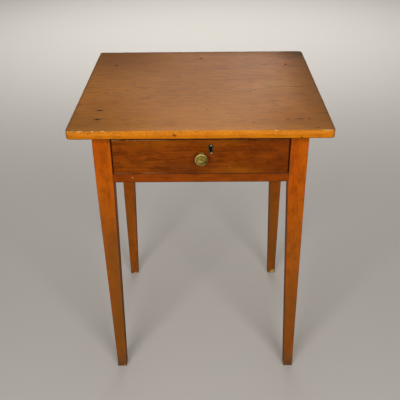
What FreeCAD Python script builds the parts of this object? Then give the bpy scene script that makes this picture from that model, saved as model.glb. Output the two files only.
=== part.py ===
import FreeCAD
import Part
import math
import os

from FreeCAD import Vector

# One-drawer tavern table: a nailed single-board top on four tapered legs, with tenoned and pegged aprons,
# a drawer opening between two rails, and a dovetailed drawer with a brass knob and a half-mortise lock.
# Millimetres. X runs to the right, Y to the back, Z up. The origin is on the floor, under the centre.

# Whole table
TABLE_HEIGHT = 730.0
TOP_WIDTH = 569.0
TOP_DEPTH = 538.0
TOP_THICKNESS = 19.5
SIDE_OVERHANG = 45.0
FRONT_OVERHANG = 48.0
TOP_CORNER_ROUND = 6.0
TOP_UPPER_CHAMFER = 1.0
TOP_LOWER_CHAMFER = 2.0

# Legs: square, straight beside the apron, tapered below it on the two inner faces; with age the front
# pair has racked, and its feet stand a little to the right
LEG_SQUARE = 40.0
FOOT_SQUARE = 24.0
FRONT_RACK = 6.5
STRAIGHT_BELOW_APRON = 6.0
LEG_ARRIS = 1.2
FOOT_CHAMFER = 1.0

# Aprons and their pegged tenons
APRON_HEIGHT = 131.0
APRON_THICKNESS = 20.0
APRON_SETBACK = 3.0
TENON_THICKNESS = 8.0
TENON_SHOULDER = 10.0
TENON_HAUNCH = 30.0
TENON_WEB = 2.5
MORTISE_RELIEF = 1.0
PEG_SIDES = 8
PEG_DIAMETER = 7.0
PEG_EASE = 0.05
PEG_PROUD = 0.5
PEG_BITE = 7.0
PEG_FROM_TENON_EDGE = 18.0

# Rails above and below the drawer
UPPER_RAIL_THICKNESS = 22.0
LOWER_RAIL_THICKNESS = 22.0
RAIL_DEPTH = 60.0
RAIL_SETBACK = 0.5
RAIL_TAIL_LENGTH = 16.0
RAIL_TAIL_NECK = 22.0
RAIL_TAIL_FLARE = 3.5
TWIN_TENON_THICKNESS = 8.0
TWIN_TENON_SPACING = 16.0
TWIN_TENON_SHOULDER = 4.0

# Strips that carry, guide and hold down the drawer
RUNNER_THICKNESS = 20.0
STRIP_LIP = 3.0
RUNNER_TONGUE_WIDTH = 12.0
RUNNER_TONGUE_THICKNESS = 8.0
RUNNER_TONGUE_LENGTH = 10.0
GUIDE_HEIGHT = 24.0
GUIDE_GAP = 2.0
STOP_WIDTH = 30.0
STOP_LENGTH = 20.0
STOP_HEIGHT = 4.5
STOP_OFFSET = 120.0

# Cut nails
NAIL_HEAD = 6.0
NAIL_HEAD_THICKNESS = 1.6
NAIL_SHANK = 3.2
NAIL_TIP = 1.8
TOP_NAIL_LENGTH = 48.0
TOP_NAIL_SINK = 0.6
TOP_NAIL_FROM_LEG_EDGE = 15.0
TOP_NAIL_FROM_APRON_END = 26.0
STRIP_NAIL_BITE = 12.0
STRIP_NAIL_SPACING = 110.0
BOTTOM_NAIL_LENGTH = 28.0
BOTTOM_NAIL_SPACING = 130.0

# Drawer box
DRAWER_SIDE_GAP = 3.0
FRONT_GAP_ABOVE = 2.5
FRONT_GAP_BELOW = 1.0
RUNNING_GAP = 0.3
KICKER_GAP = 5.0
DRAWER_REAR_GAP = 20.0
DRAWER_FRONT_THICKNESS = 20.0
DRAWER_FRONT_CHAMFER = 1.0
DRAWER_SIDE_THICKNESS = 11.0
DRAWER_BACK_THICKNESS = 12.0
DRAWER_BACK_DROP = 4.0
DOVETAIL_COUNT = 3
DOVETAIL_SLOPE = 1 / 6
DOVETAIL_LAP = 6.0
PIN_WIDTH = 6.0
GROOVE_RISE = 9.0
GROOVE_WIDTH = 4.5
GROOVE_DEPTH = 5.0
PANEL_THICKNESS = 8.0
PANEL_EDGE = 4.2
PANEL_EDGE_GAP = 0.5
PANEL_BEVEL_WIDTH = 25.0

# Turned brass knob and its bolt
KNOB_DIAMETER = 28.5
KNOB_PROJECTION = 24.0
KNOB_OFFSET = 2.0
KNOB_RISE = 3.0
KNOB_RIM = 4.5
KNOB_NECK_DIAMETER = 11.0
KNOB_BASE_DIAMETER = 17.0
KNOB_BASE_THICKNESS = 2.5
KNOB_COVE_FACETS = 2
KNOB_BEAD_WIDTH = 2.4
KNOB_BEAD_HEIGHT = 1.2
KNOB_FACE_SINK = 1.8
KNOB_DIMPLE_DIAMETER = 3.2
KNOB_DIMPLE_DEPTH = 0.8
KNOB_BOLT_DIAMETER = 5.0
KNOB_BOLT_EASE = 0.05
KNOB_HOLE_DIAMETER = 6.0
KNOB_SOCKET_DEPTH = 12.0
KNOB_NUT_SQUARE = 10.0
KNOB_NUT_THICKNESS = 4.0
KNOB_BOLT_END = 2.0

# Keyhole with its brass liner
KEYHOLE_OFFSET = 23.2
KEYHOLE_FROM_TOP = 17.5
KEYHOLE_RADIUS = 4.2
KEYHOLE_SLOT = 5.4
KEYHOLE_LENGTH = 12.0
LINER_WALL = 2.2
LINER_DEPTH = 6.0
LINER_PROUD = 0.4

# Half-mortise lock
LOCK_WIDTH = 33.0
LOCK_HEIGHT = 38.5
LOCK_PLATE_THICKNESS = 2.0
SELVAGE_THICKNESS = 2.5
SELVAGE_DEPTH = 14.0
CASE_WIDTH = 24.4
CASE_DEPTH = 10.0
CASE_WALL = 1.2
CASE_FOOT = 1.2
LOCK_POCKET_EASE = 0.4
LOCK_RUNNING_GAP = 0.3
BOLT_HEAD_WIDTH = 12.0
BOLT_HEAD_THICKNESS = 5.0
BOLT_PLATE_THICKNESS = 3.0
BOLT_ARM_WIDTH = 4.0
BOLT_BRIDGE = 4.0
BOLT_TALON = 2.4
BOLT_TRAVEL = 8.0
STRIKE_EASE = 0.6
PIN_DIAMETER = 2.8
PIN_REACH = 1.5
SPRING_THICKNESS = 0.5
SPRING_WIDTH = 2.4
SPRING_SPACE = 1.5
LOCK_SCREW_SIDES = 12
LOCK_SCREW_HEAD = 4.2
LOCK_SCREW_HEAD_THICKNESS = 1.2
LOCK_SCREW_SHANK = 2.4
LOCK_SCREW_LENGTH = 10.0
LOCK_SCREW_INSET = 2.2

# Planes of the frame
FRAME_X = TOP_WIDTH / 2 - SIDE_OVERHANG
FRAME_Y = TOP_DEPTH / 2 - FRONT_OVERHANG
UNDERSIDE = TABLE_HEIGHT - TOP_THICKNESS
APRON_BOTTOM = UNDERSIDE - APRON_HEIGHT
LEG_INNER_X = FRAME_X - LEG_SQUARE
LEG_INNER_Y = FRAME_Y - LEG_SQUARE
LEG_MID_Y = FRAME_Y - LEG_SQUARE / 2
APRON_OUTER_X = FRAME_X - APRON_SETBACK
APRON_INNER_X = APRON_OUTER_X - APRON_THICKNESS
APRON_OUTER_Y = FRAME_Y - APRON_SETBACK
APRON_INNER_Y = APRON_OUTER_Y - APRON_THICKNESS
TENON_X = (APRON_OUTER_X + APRON_INNER_X) / 2
TENON_Y = (APRON_OUTER_Y + APRON_INNER_Y) / 2
TENON_FAR_CHEEK = APRON_SETBACK + (APRON_THICKNESS + TENON_THICKNESS) / 2
TENON_LENGTH = LEG_SQUARE - TENON_FAR_CHEEK - TENON_WEB
TENON_BOTTOM = APRON_BOTTOM + TENON_SHOULDER
TENON_TOP = UNDERSIDE - TENON_HAUNCH
PEG_DEPTH = TENON_FAR_CHEEK + PEG_BITE
OPENING_BOTTOM = APRON_BOTTOM + LOWER_RAIL_THICKNESS
OPENING_TOP = UNDERSIDE - UPPER_RAIL_THICKNESS
RAIL_FRONT = -FRAME_Y + RAIL_SETBACK
RAIL_BACK = RAIL_FRONT + RAIL_DEPTH

# Planes of the drawer
FRONT_BACK = RAIL_FRONT + DRAWER_FRONT_THICKNESS
FRONT_BOTTOM = OPENING_BOTTOM + FRONT_GAP_BELOW
FRONT_TOP = OPENING_TOP - FRONT_GAP_ABOVE
DRAWER_X = LEG_INNER_X - DRAWER_SIDE_GAP
SIDE_INNER_X = DRAWER_X - DRAWER_SIDE_THICKNESS
SIDE_BOTTOM = OPENING_BOTTOM + RUNNING_GAP
SIDE_TOP = OPENING_TOP - KICKER_GAP
DRAWER_REAR = APRON_INNER_Y - DRAWER_REAR_GAP
BACK_FRONT = DRAWER_REAR - DRAWER_BACK_THICKNESS
GROOVE_BOTTOM = SIDE_BOTTOM + GROOVE_RISE
GROOVE_TOP = GROOVE_BOTTOM + GROOVE_WIDTH
BACK_TOP = SIDE_TOP - DRAWER_BACK_DROP
TAIL_TIP = RAIL_FRONT + DOVETAIL_LAP
STRIP_INNER_X = SIDE_INNER_X - STRIP_LIP
GUIDE_INNER_X = DRAWER_X + GUIDE_GAP

# Planes of the knob, keyhole and lock
KNOB_Z = (FRONT_BOTTOM + FRONT_TOP) / 2 + KNOB_RISE
KEYHOLE_Z = FRONT_TOP - KEYHOLE_FROM_TOP
LOCK_BOTTOM = FRONT_TOP - LOCK_HEIGHT
SELVAGE_BOTTOM = FRONT_TOP - SELVAGE_THICKNESS
PLATE_FRONT = FRONT_BACK - LOCK_PLATE_THICKNESS
CASE_FRONT = PLATE_FRONT - CASE_DEPTH
CASE_BOTTOM = LOCK_BOTTOM + CASE_FOOT
CASE_HALF = CASE_WIDTH / 2
CASE_INNER_HALF = CASE_HALF - CASE_WALL
BOLT_BACK = PLATE_FRONT - LOCK_RUNNING_GAP
BOLT_LEFT = KEYHOLE_OFFSET - CASE_INNER_HALF + SPRING_SPACE
BOLT_RIGHT = KEYHOLE_OFFSET + CASE_INNER_HALF - LOCK_RUNNING_GAP
BOLT_SHOULDER = SELVAGE_BOTTOM - BOLT_TRAVEL - LOCK_RUNNING_GAP
BOLT_FOOT = CASE_BOTTOM + CASE_WALL + LOCK_RUNNING_GAP
BOLT_HEAD_TOP = FRONT_TOP - LOCK_RUNNING_GAP


def box(x0, x1, y0, y1, z0, z1):
    return Part.makeBox(x1 - x0, y1 - y0, z1 - z0, Vector(x0, y0, z0))


def prism(points, sweep):
    """The closed outline through points, swept along a vector."""
    return Part.Face(Part.makePolygon(points + points[:1])).extrude(sweep)


def joined(shapes):
    return shapes[0].fuse(shapes[1:]).removeSplitter()


def mirror_x(shape):
    return shape.mirror(Vector(0, 0, 0), Vector(1, 0, 0))


def mirror_y(shape):
    return shape.mirror(Vector(0, 0, 0), Vector(0, 1, 0))


def both_sides(shapes):
    return shapes + [mirror_x(shape) for shape in shapes]


def level_wire(points, z):
    """The closed outline through (x, y) points at one height."""
    return Part.makePolygon([Vector(x, y, z) for x, y in points + points[:1]])


def rectangle(x0, x1, y0, y1, z):
    return level_wire([(x0, y0), (x1, y0), (x1, y1), (x0, y1)], z)


def eased_square(x, y, size, ease, z):
    """A level square from its low corner at x, y, with each corner cut off by ease."""
    low, high = ease, size - ease
    turns = [(low, 0), (high, 0), (size, low), (size, high), (high, size), (low, size), (0, high), (0, low)]
    return level_wire([(x + a, y + b) for a, b in turns], z)


def many_sided(diameter, sides):
    """Corners of a level regular polygon about the origin."""
    step = 2 * math.pi / sides
    angles = [step * (i + 0.5) for i in range(sides)]
    return [Vector(math.cos(a), math.sin(a), 0) * (diameter / 2) for a in angles]


def placed(shape, position, direction):
    """A copy of a shape drawn hanging down -Z from the origin, moved and pointed along direction."""
    copy = shape.copy()
    copy.Placement = FreeCAD.Placement(position, FreeCAD.Rotation(Vector(0, 0, -1), direction))
    return copy


# Fasteners


def cut_nail(length):
    """A square tapered nail hanging from its flat head, whose face is at the origin."""
    head, shank, tip = NAIL_HEAD / 2, NAIL_SHANK / 2, NAIL_TIP / 2
    under_head = rectangle(-shank, shank, -shank, shank, -NAIL_HEAD_THICKNESS)
    point = rectangle(-tip, tip, -tip, tip, -length)
    flat = box(-head, head, -head, head, -NAIL_HEAD_THICKNESS, 0)
    return joined([flat, Part.makeLoft([under_head, point], True, True)])


def top_nail_places():
    """Where nails go down through the top: one in each front leg, two in each side apron, one behind."""
    apron_end = LEG_INNER_Y - TOP_NAIL_FROM_APRON_END
    left = [
        (-FRAME_X + TOP_NAIL_FROM_LEG_EDGE, -FRAME_Y + TOP_NAIL_FROM_LEG_EDGE),
        (-TENON_X, -apron_end),
        (-TENON_X, apron_end),
    ]
    return left + [(-x, y) for x, y in left] + [(0, TENON_Y)]


def top_nails():
    nail = cut_nail(TOP_NAIL_LENGTH)
    head_z = TABLE_HEIGHT - TOP_NAIL_SINK
    return [placed(nail, Vector(x, y, head_z), Vector(0, 0, -1)) for x, y in top_nail_places()]


def strip_nails():
    """Nails of the left runner, guide and kicker, driven outwards into the left apron."""
    wide = cut_nail(APRON_INNER_X - STRIP_INNER_X + STRIP_NAIL_BITE)
    narrow = cut_nail(APRON_INNER_X - GUIDE_INNER_X + STRIP_NAIL_BITE)
    rows = [
        (wide, STRIP_INNER_X, OPENING_BOTTOM - RUNNER_THICKNESS / 2),
        (narrow, GUIDE_INNER_X, OPENING_BOTTOM + GUIDE_HEIGHT / 2),
        (wide, STRIP_INNER_X, OPENING_TOP + UPPER_RAIL_THICKNESS / 2),
    ]
    nails = []
    for nail, face_x, z in rows:
        for step in (-1, 0, 1):
            nails.append(placed(nail, Vector(-face_x, step * STRIP_NAIL_SPACING, z), Vector(-1, 0, 0)))
    return nails


def bottom_nails():
    """Nails up through the rear edge of the drawer bottom into the drawer back."""
    nail = cut_nail(BOTTOM_NAIL_LENGTH)
    y = (BACK_FRONT + DRAWER_REAR) / 2
    z = GROOVE_TOP - PANEL_THICKNESS
    return [placed(nail, Vector(step * BOTTOM_NAIL_SPACING, y, z), Vector(0, 0, 1)) for step in (-1, 0, 1)]


def peg_places():
    """Outer end, direction and height of each peg in the left half of the frame."""
    low = TENON_BOTTOM + PEG_FROM_TENON_EDGE
    high = TENON_TOP - PEG_FROM_TENON_EDGE
    side_y = LEG_INNER_Y + TENON_LENGTH / 2
    rear_x = LEG_INNER_X + TENON_LENGTH / 2
    places = []
    for z in (low, high):
        for y in (-side_y, side_y):
            places.append((Vector(-FRAME_X - PEG_PROUD, y, z), Vector(1, 0, 0)))
        places.append((Vector(-rear_x, FRAME_Y + PEG_PROUD, z), Vector(0, -1, 0)))
    return places


def whittled_rods(diameter):
    """A many-sided rod at each peg's place."""
    rod = prism(many_sided(diameter, PEG_SIDES), Vector(0, 0, -PEG_PROUD - PEG_DEPTH))
    return [placed(rod, end, direction) for end, direction in peg_places()]


def pegs():
    return whittled_rods(PEG_DIAMETER - 2 * PEG_EASE)


def peg_holes():
    return whittled_rods(PEG_DIAMETER)


# Frame


def tabletop():
    board = box(-TOP_WIDTH / 2, TOP_WIDTH / 2, -TOP_DEPTH / 2, TOP_DEPTH / 2, UNDERSIDE, TABLE_HEIGHT)
    board = board.makeFillet(TOP_CORNER_ROUND, [e for e in board.Edges if is_upright(e)])
    board = board.makeChamfer(TOP_UPPER_CHAMFER, [e for e in board.Edges if is_level_at(e, TABLE_HEIGHT)])
    board = board.makeChamfer(TOP_LOWER_CHAMFER, [e for e in board.Edges if is_level_at(e, UNDERSIDE)])
    half = NAIL_HEAD / 2
    head_z = TABLE_HEIGHT - TOP_NAIL_SINK
    sinks = []
    for x, y in top_nail_places():
        sinks.append(box(x - half, x + half, y - half, y + half, head_z, TABLE_HEIGHT))
    return board.cut(sinks + top_nails())


def is_upright(edge):
    low, high = edge.BoundBox.ZMin, edge.BoundBox.ZMax
    return high - low > TOP_THICKNESS / 2


def is_level_at(edge, z):
    return abs(edge.BoundBox.ZMin - z) < 1e-6 and abs(edge.BoundBox.ZMax - z) < 1e-6


def side_tenon(end, relief=0.0):
    """Tenon of the left apron into the front leg (end -1) or the rear leg (end 1)."""
    reach = sorted((end * LEG_INNER_Y, end * (LEG_INNER_Y + TENON_LENGTH + relief)))
    half = TENON_THICKNESS / 2
    return box(-TENON_X - half, -TENON_X + half, *reach, TENON_BOTTOM, TENON_TOP)


def rear_tenon(relief=0.0):
    """Tenon of the rear apron into the left rear leg."""
    half = TENON_THICKNESS / 2
    outer = -LEG_INNER_X - TENON_LENGTH - relief
    return box(outer, -LEG_INNER_X, TENON_Y - half, TENON_Y + half, TENON_BOTTOM, TENON_TOP)


def twin_tenons(relief=0.0):
    """The pair of tenons at the lower rail's left end."""
    outer = -LEG_INNER_X - TENON_LENGTH - relief
    low = APRON_BOTTOM + TWIN_TENON_SHOULDER
    high = OPENING_BOTTOM - TWIN_TENON_SHOULDER
    half = TWIN_TENON_THICKNESS / 2
    middles = [-LEG_MID_Y + side * TWIN_TENON_SPACING / 2 for side in (-1, 1)]
    return [box(outer, -LEG_INNER_X, y - half, y + half, low, high) for y in middles]


def rail_tail():
    """The dovetail at the upper rail's left end, which drops into the top of the leg."""
    neck = RAIL_TAIL_NECK / 2
    wide = neck + RAIL_TAIL_FLARE
    tip = -LEG_INNER_X - RAIL_TAIL_LENGTH
    outline = [(-LEG_INNER_X, -neck), (tip, -wide), (tip, wide), (-LEG_INNER_X, neck)]
    points = [Vector(x, -LEG_MID_Y + y, OPENING_TOP) for x, y in outline]
    return prism(points, Vector(0, 0, UPPER_RAIL_THICKNESS))


def leg_blank(lean=0.0):
    """The left front leg without its joints; below the apron it may lean, so that its foot stands in."""

    def section(size, z, shift=0.0, inset=0.0):
        return eased_square(-FRAME_X + shift + inset, -FRAME_Y + inset, size - 2 * inset, LEG_ARRIS, z)

    taper_start = APRON_BOTTOM - STRAIGHT_BELOW_APRON
    sections = [
        section(FOOT_SQUARE, 0, lean, FOOT_CHAMFER),
        section(FOOT_SQUARE, FOOT_CHAMFER, lean),
        section(LEG_SQUARE, taper_start),
        section(LEG_SQUARE, UNDERSIDE),
    ]
    return Part.makeLoft(sections, True, True)


def front_leg(lean):
    sockets = [side_tenon(-1, MORTISE_RELIEF), rail_tail()] + twin_tenons(MORTISE_RELIEF)
    return leg_blank(lean).cut(sockets + peg_holes() + top_nails())


def rear_leg():
    sockets = [side_tenon(1, MORTISE_RELIEF), rear_tenon(MORTISE_RELIEF)]
    return mirror_y(leg_blank()).cut(sockets + peg_holes())


def side_apron():
    board = box(-APRON_OUTER_X, -APRON_INNER_X, -LEG_INNER_Y, LEG_INNER_Y, APRON_BOTTOM, UNDERSIDE)
    apron = joined([board, side_tenon(-1), side_tenon(1)])
    return apron.cut(peg_holes() + top_nails() + strip_nails())


def rear_apron():
    board = box(-LEG_INNER_X, LEG_INNER_X, APRON_INNER_Y, APRON_OUTER_Y, APRON_BOTTOM, UNDERSIDE)
    apron = joined([board] + both_sides([rear_tenon()]))
    return apron.cut(both_sides(peg_holes()) + top_nails())


def upper_rail():
    board = box(-LEG_INNER_X, LEG_INNER_X, RAIL_FRONT, RAIL_BACK, OPENING_TOP, UNDERSIDE)
    return joined([board] + both_sides([rail_tail()])).cut(strike_pocket())


def lower_rail():
    board = box(-LEG_INNER_X, LEG_INNER_X, RAIL_FRONT, RAIL_BACK, APRON_BOTTOM, OPENING_BOTTOM)
    rail = joined([board] + both_sides(twin_tenons()))
    return rail.cut(both_sides([runner_tongue()]))


# Drawer supports


def strip(z0, z1):
    """A strip along the left apron, from the rails to the rear apron, notched round the rear leg."""
    outline = [
        (-APRON_INNER_X, RAIL_BACK),
        (-STRIP_INNER_X, RAIL_BACK),
        (-STRIP_INNER_X, APRON_INNER_Y),
        (-LEG_INNER_X, APRON_INNER_Y),
        (-LEG_INNER_X, LEG_INNER_Y),
        (-APRON_INNER_X, LEG_INNER_Y),
    ]
    return prism([Vector(x, y, z0) for x, y in outline], Vector(0, 0, z1 - z0))


def runner_tongue():
    """Stub at the runner's front end, let into the back of the lower rail."""
    inner = -STRIP_INNER_X - STRIP_LIP
    middle = OPENING_BOTTOM - RUNNER_THICKNESS / 2
    half = RUNNER_TONGUE_THICKNESS / 2
    y0 = RAIL_BACK - RUNNER_TONGUE_LENGTH
    return box(inner - RUNNER_TONGUE_WIDTH, inner, y0, RAIL_BACK, middle - half, middle + half)


def runner():
    plank = strip(OPENING_BOTTOM - RUNNER_THICKNESS, OPENING_BOTTOM)
    return joined([plank, runner_tongue()]).cut(strip_nails())


def kicker():
    return strip(OPENING_TOP, UNDERSIDE).cut(strip_nails())


def guide():
    z1 = OPENING_BOTTOM + GUIDE_HEIGHT
    plank = box(-APRON_INNER_X, -GUIDE_INNER_X, -LEG_INNER_Y, LEG_INNER_Y, OPENING_BOTTOM, z1)
    return plank.cut(strip_nails())


def drawer_stop():
    """Block on the lower rail that the back of the drawer front meets when the drawer is shut."""
    x = -STOP_OFFSET
    y0 = FRONT_BACK + RUNNING_GAP
    z1 = OPENING_BOTTOM + STOP_HEIGHT
    return box(x - STOP_WIDTH / 2, x + STOP_WIDTH / 2, y0, y0 + STOP_LENGTH, OPENING_BOTTOM, z1)


# Drawer box


def dovetails(low, high, root_y, tip_y):
    """Tails of the left drawer side between two heights, narrow at root_y and wide at tip_y."""
    pitch = (high - low) / DOVETAIL_COUNT
    wide = (pitch - PIN_WIDTH) / 2
    narrow = wide - abs(tip_y - root_y) * DOVETAIL_SLOPE
    tails = []
    for i in range(DOVETAIL_COUNT):
        z = low + (i + 0.5) * pitch
        outline = [(root_y, z - narrow), (tip_y, z - wide), (tip_y, z + wide), (root_y, z + narrow)]
        points = [Vector(-DRAWER_X, y, height) for y, height in outline]
        tails.append(prism(points, Vector(DRAWER_SIDE_THICKNESS, 0, 0)))
    return tails


def front_tails():
    return dovetails(max(FRONT_BOTTOM, SIDE_BOTTOM), min(FRONT_TOP, SIDE_TOP), FRONT_BACK, TAIL_TIP)


def rear_tails():
    return dovetails(GROOVE_TOP, BACK_TOP, BACK_FRONT, DRAWER_REAR)


def drawer_side():
    board = box(-DRAWER_X, -SIDE_INNER_X, FRONT_BACK, DRAWER_REAR, SIDE_BOTTOM, SIDE_TOP)
    pin_bay = box(-DRAWER_X, -SIDE_INNER_X, BACK_FRONT, DRAWER_REAR, GROOVE_TOP, BACK_TOP)
    groove_x = -SIDE_INNER_X - GROOVE_DEPTH
    groove = box(groove_x, -SIDE_INNER_X, TAIL_TIP, DRAWER_REAR, GROOVE_BOTTOM, GROOVE_TOP)
    return joined([board.cut(pin_bay)] + front_tails() + rear_tails()).cut(groove)


def drawer_back():
    board = box(-DRAWER_X, DRAWER_X, BACK_FRONT, DRAWER_REAR, GROOVE_TOP, BACK_TOP)
    return board.cut(both_sides(rear_tails()) + bottom_nails())


def drawer_bottom():
    """Panel held in grooves at the front and sides, bevelled underneath, and nailed under the back."""
    edge_x = SIDE_INNER_X + GROOVE_DEPTH - PANEL_EDGE_GAP
    tongue_x = SIDE_INNER_X - PANEL_EDGE_GAP
    tongue_y = FRONT_BACK - GROOVE_DEPTH + PANEL_EDGE_GAP
    field_y = FRONT_BACK + PANEL_EDGE_GAP
    top, edge, field = GROOVE_TOP, GROOVE_TOP - PANEL_EDGE, GROOVE_TOP - PANEL_THICKNESS
    leaf = box(-edge_x, edge_x, field_y, DRAWER_REAR, edge, top)
    tongue = box(-tongue_x, tongue_x, tongue_y, field_y, edge, top)

    bevel_x, bevel_y = tongue_x - PANEL_BEVEL_WIDTH, field_y + PANEL_BEVEL_WIDTH
    bevel_top = rectangle(-tongue_x, tongue_x, field_y, DRAWER_REAR, edge)
    bevel_foot = rectangle(-bevel_x, bevel_x, bevel_y, DRAWER_REAR, field)
    raised = Part.makeLoft([bevel_top, bevel_foot], True, True)
    return joined([leaf, tongue, raised]).cut(bottom_nails())


def drawer_front():
    board = box(-DRAWER_X, DRAWER_X, RAIL_FRONT, FRONT_BACK, FRONT_BOTTOM, FRONT_TOP)
    face_edges = [e for e in board.Edges if e.BoundBox.YMax < FRONT_BACK]
    board = board.makeChamfer(DRAWER_FRONT_CHAMFER, face_edges)
    groove_floor = FRONT_BACK - GROOVE_DEPTH
    groove = box(-SIDE_INNER_X, SIDE_INNER_X, groove_floor, FRONT_BACK, GROOVE_BOTTOM, GROOVE_TOP)
    knob_hole = knob_cylinder(KNOB_HOLE_DIAMETER / 2, RAIL_FRONT, FRONT_BACK)
    cuts = both_sides(front_tails()) + [groove, knob_hole, liner_seat(), keyhole(RAIL_FRONT, FRONT_BACK)]
    return board.cut(cuts + lock_pockets() + lock_screws())


# Knob


def knob_cylinder(radius, y0, y1):
    return Part.makeCylinder(radius, y1 - y0, Vector(KNOB_OFFSET, y0, KNOB_Z), Vector(0, 1, 0))


def knob():
    """Turned about its axis: base, neck, coved back, rim with a bead, and a sunk face with a dimple."""
    socket = KNOB_BOLT_DIAMETER / 2 + KNOB_BOLT_EASE
    base, neck, rim = KNOB_BASE_DIAMETER / 2, KNOB_NECK_DIAMETER / 2, KNOB_DIAMETER / 2
    dimple = KNOB_DIMPLE_DIAMETER / 2
    shoulder = KNOB_PROJECTION - KNOB_BEAD_HEIGHT
    face = KNOB_PROJECTION - KNOB_FACE_SINK
    rim_back = shoulder - KNOB_RIM
    cove = rim - neck
    cove_start = rim_back - cove
    profile = [(socket, KNOB_SOCKET_DEPTH), (socket, 0), (base, 0), (base, KNOB_BASE_THICKNESS)]
    profile.append((neck, KNOB_BASE_THICKNESS))
    for step in range(KNOB_COVE_FACETS + 1):
        turn = math.pi / 2 * step / KNOB_COVE_FACETS
        profile.append((rim - cove * math.cos(turn), cove_start + cove * math.sin(turn)))
    profile += [
        (rim, shoulder),
        (rim - KNOB_BEAD_WIDTH / 2, KNOB_PROJECTION),
        (rim - KNOB_BEAD_WIDTH, face),
        (dimple, face),
        (dimple, face - KNOB_DIMPLE_DEPTH),
        (0, face - KNOB_DIMPLE_DEPTH),
        (0, KNOB_SOCKET_DEPTH),
    ]
    points = [Vector(KNOB_OFFSET + radius, RAIL_FRONT - out, KNOB_Z) for radius, out in profile]
    outline = Part.makePolygon(points + points[:1])
    return Part.Face(outline).revolve(Vector(KNOB_OFFSET, 0, KNOB_Z), Vector(0, 1, 0), 360)


def knob_bolt():
    y1 = FRONT_BACK + KNOB_NUT_THICKNESS + KNOB_BOLT_END
    return knob_cylinder(KNOB_BOLT_DIAMETER / 2, RAIL_FRONT - KNOB_SOCKET_DEPTH, y1)


def knob_nut():
    half = KNOB_NUT_SQUARE / 2
    left, right = KNOB_OFFSET - half, KNOB_OFFSET + half
    y1 = FRONT_BACK + KNOB_NUT_THICKNESS
    block = box(left, right, FRONT_BACK, y1, KNOB_Z - half, KNOB_Z + half)
    return block.cut(knob_cylinder(KNOB_BOLT_DIAMETER / 2 + KNOB_BOLT_EASE, FRONT_BACK, y1))


# Keyhole


def keyhole(y0, y1, grow=0.0):
    """The keyhole's outline, a circle over a round-ended slot, grown by an even margin."""
    x, low = KEYHOLE_OFFSET, KEYHOLE_Z - KEYHOLE_LENGTH
    half = KEYHOLE_SLOT / 2 + grow
    back = Vector(0, 1, 0)
    circle = Part.makeCylinder(KEYHOLE_RADIUS + grow, y1 - y0, Vector(x, y0, KEYHOLE_Z), back)
    foot = Part.makeCylinder(half, y1 - y0, Vector(x, y0, low), back)
    return joined([circle, foot, box(x - half, x + half, y0, y1, low, KEYHOLE_Z)])


def liner_seat():
    return keyhole(RAIL_FRONT, RAIL_FRONT + LINER_DEPTH, LINER_WALL)


def keyhole_liner():
    y0, y1 = RAIL_FRONT - LINER_PROUD, RAIL_FRONT + LINER_DEPTH
    return keyhole(y0, y1, LINER_WALL).cut(keyhole(y0, y1))


# Lock


def lock_box(half, y0, y1, z0, z1):
    """A box centred on the keyhole."""
    return box(KEYHOLE_OFFSET - half, KEYHOLE_OFFSET + half, y0, y1, z0, z1)


def lock_pockets():
    """What is cut from the drawer front for the plate, the selvage and the case."""
    half = LOCK_WIDTH / 2
    ease = LOCK_POCKET_EASE
    plate = lock_box(half, PLATE_FRONT, FRONT_BACK, LOCK_BOTTOM, FRONT_TOP)
    selvage = lock_box(half, FRONT_BACK - SELVAGE_DEPTH, FRONT_BACK, SELVAGE_BOTTOM, FRONT_TOP)
    case = lock_box(CASE_HALF + ease, CASE_FRONT - ease, PLATE_FRONT, CASE_BOTTOM - ease, SELVAGE_BOTTOM)
    return [plate, selvage, case]


def bolt_head(gap=0.0):
    """The bolt's head from its shoulder to the lock's top edge, grown by a running gap."""
    y0, y1 = BOLT_BACK - BOLT_HEAD_THICKNESS - gap, BOLT_BACK + gap
    return lock_box(BOLT_HEAD_WIDTH / 2 + gap, y0, y1, BOLT_SHOULDER, BOLT_HEAD_TOP + gap)


def strike_pocket():
    """Pocket in the underside of the upper rail that takes the thrown bolt."""
    y0, y1 = BOLT_BACK - BOLT_HEAD_THICKNESS - STRIKE_EASE, BOLT_BACK + STRIKE_EASE
    top = BOLT_HEAD_TOP + BOLT_TRAVEL + STRIKE_EASE
    return lock_box(BOLT_HEAD_WIDTH / 2 + STRIKE_EASE, y0, y1, OPENING_TOP, top)


def lock_plate():
    """Plate on the back of the drawer front, bent over its top edge into a selvage that the bolt passes."""
    half = LOCK_WIDTH / 2
    plate = lock_box(half, PLATE_FRONT, FRONT_BACK, LOCK_BOTTOM, FRONT_TOP)
    selvage = lock_box(half, FRONT_BACK - SELVAGE_DEPTH, FRONT_BACK, SELVAGE_BOTTOM, FRONT_TOP)
    return joined([plate, selvage]).cut([bolt_head(LOCK_RUNNING_GAP)] + lock_screws())


def lock_case():
    """Five-sided cover over the works, open to the plate, with the keyhole in its front."""
    inner_front, inner_bottom = CASE_FRONT + CASE_WALL, CASE_BOTTOM + CASE_WALL
    outside = lock_box(CASE_HALF, CASE_FRONT, PLATE_FRONT, CASE_BOTTOM, SELVAGE_BOTTOM)
    hollow = lock_box(CASE_INNER_HALF, inner_front, PLATE_FRONT, inner_bottom, SELVAGE_BOTTOM)
    return outside.cut([hollow, keyhole(CASE_FRONT, inner_front)])


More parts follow.
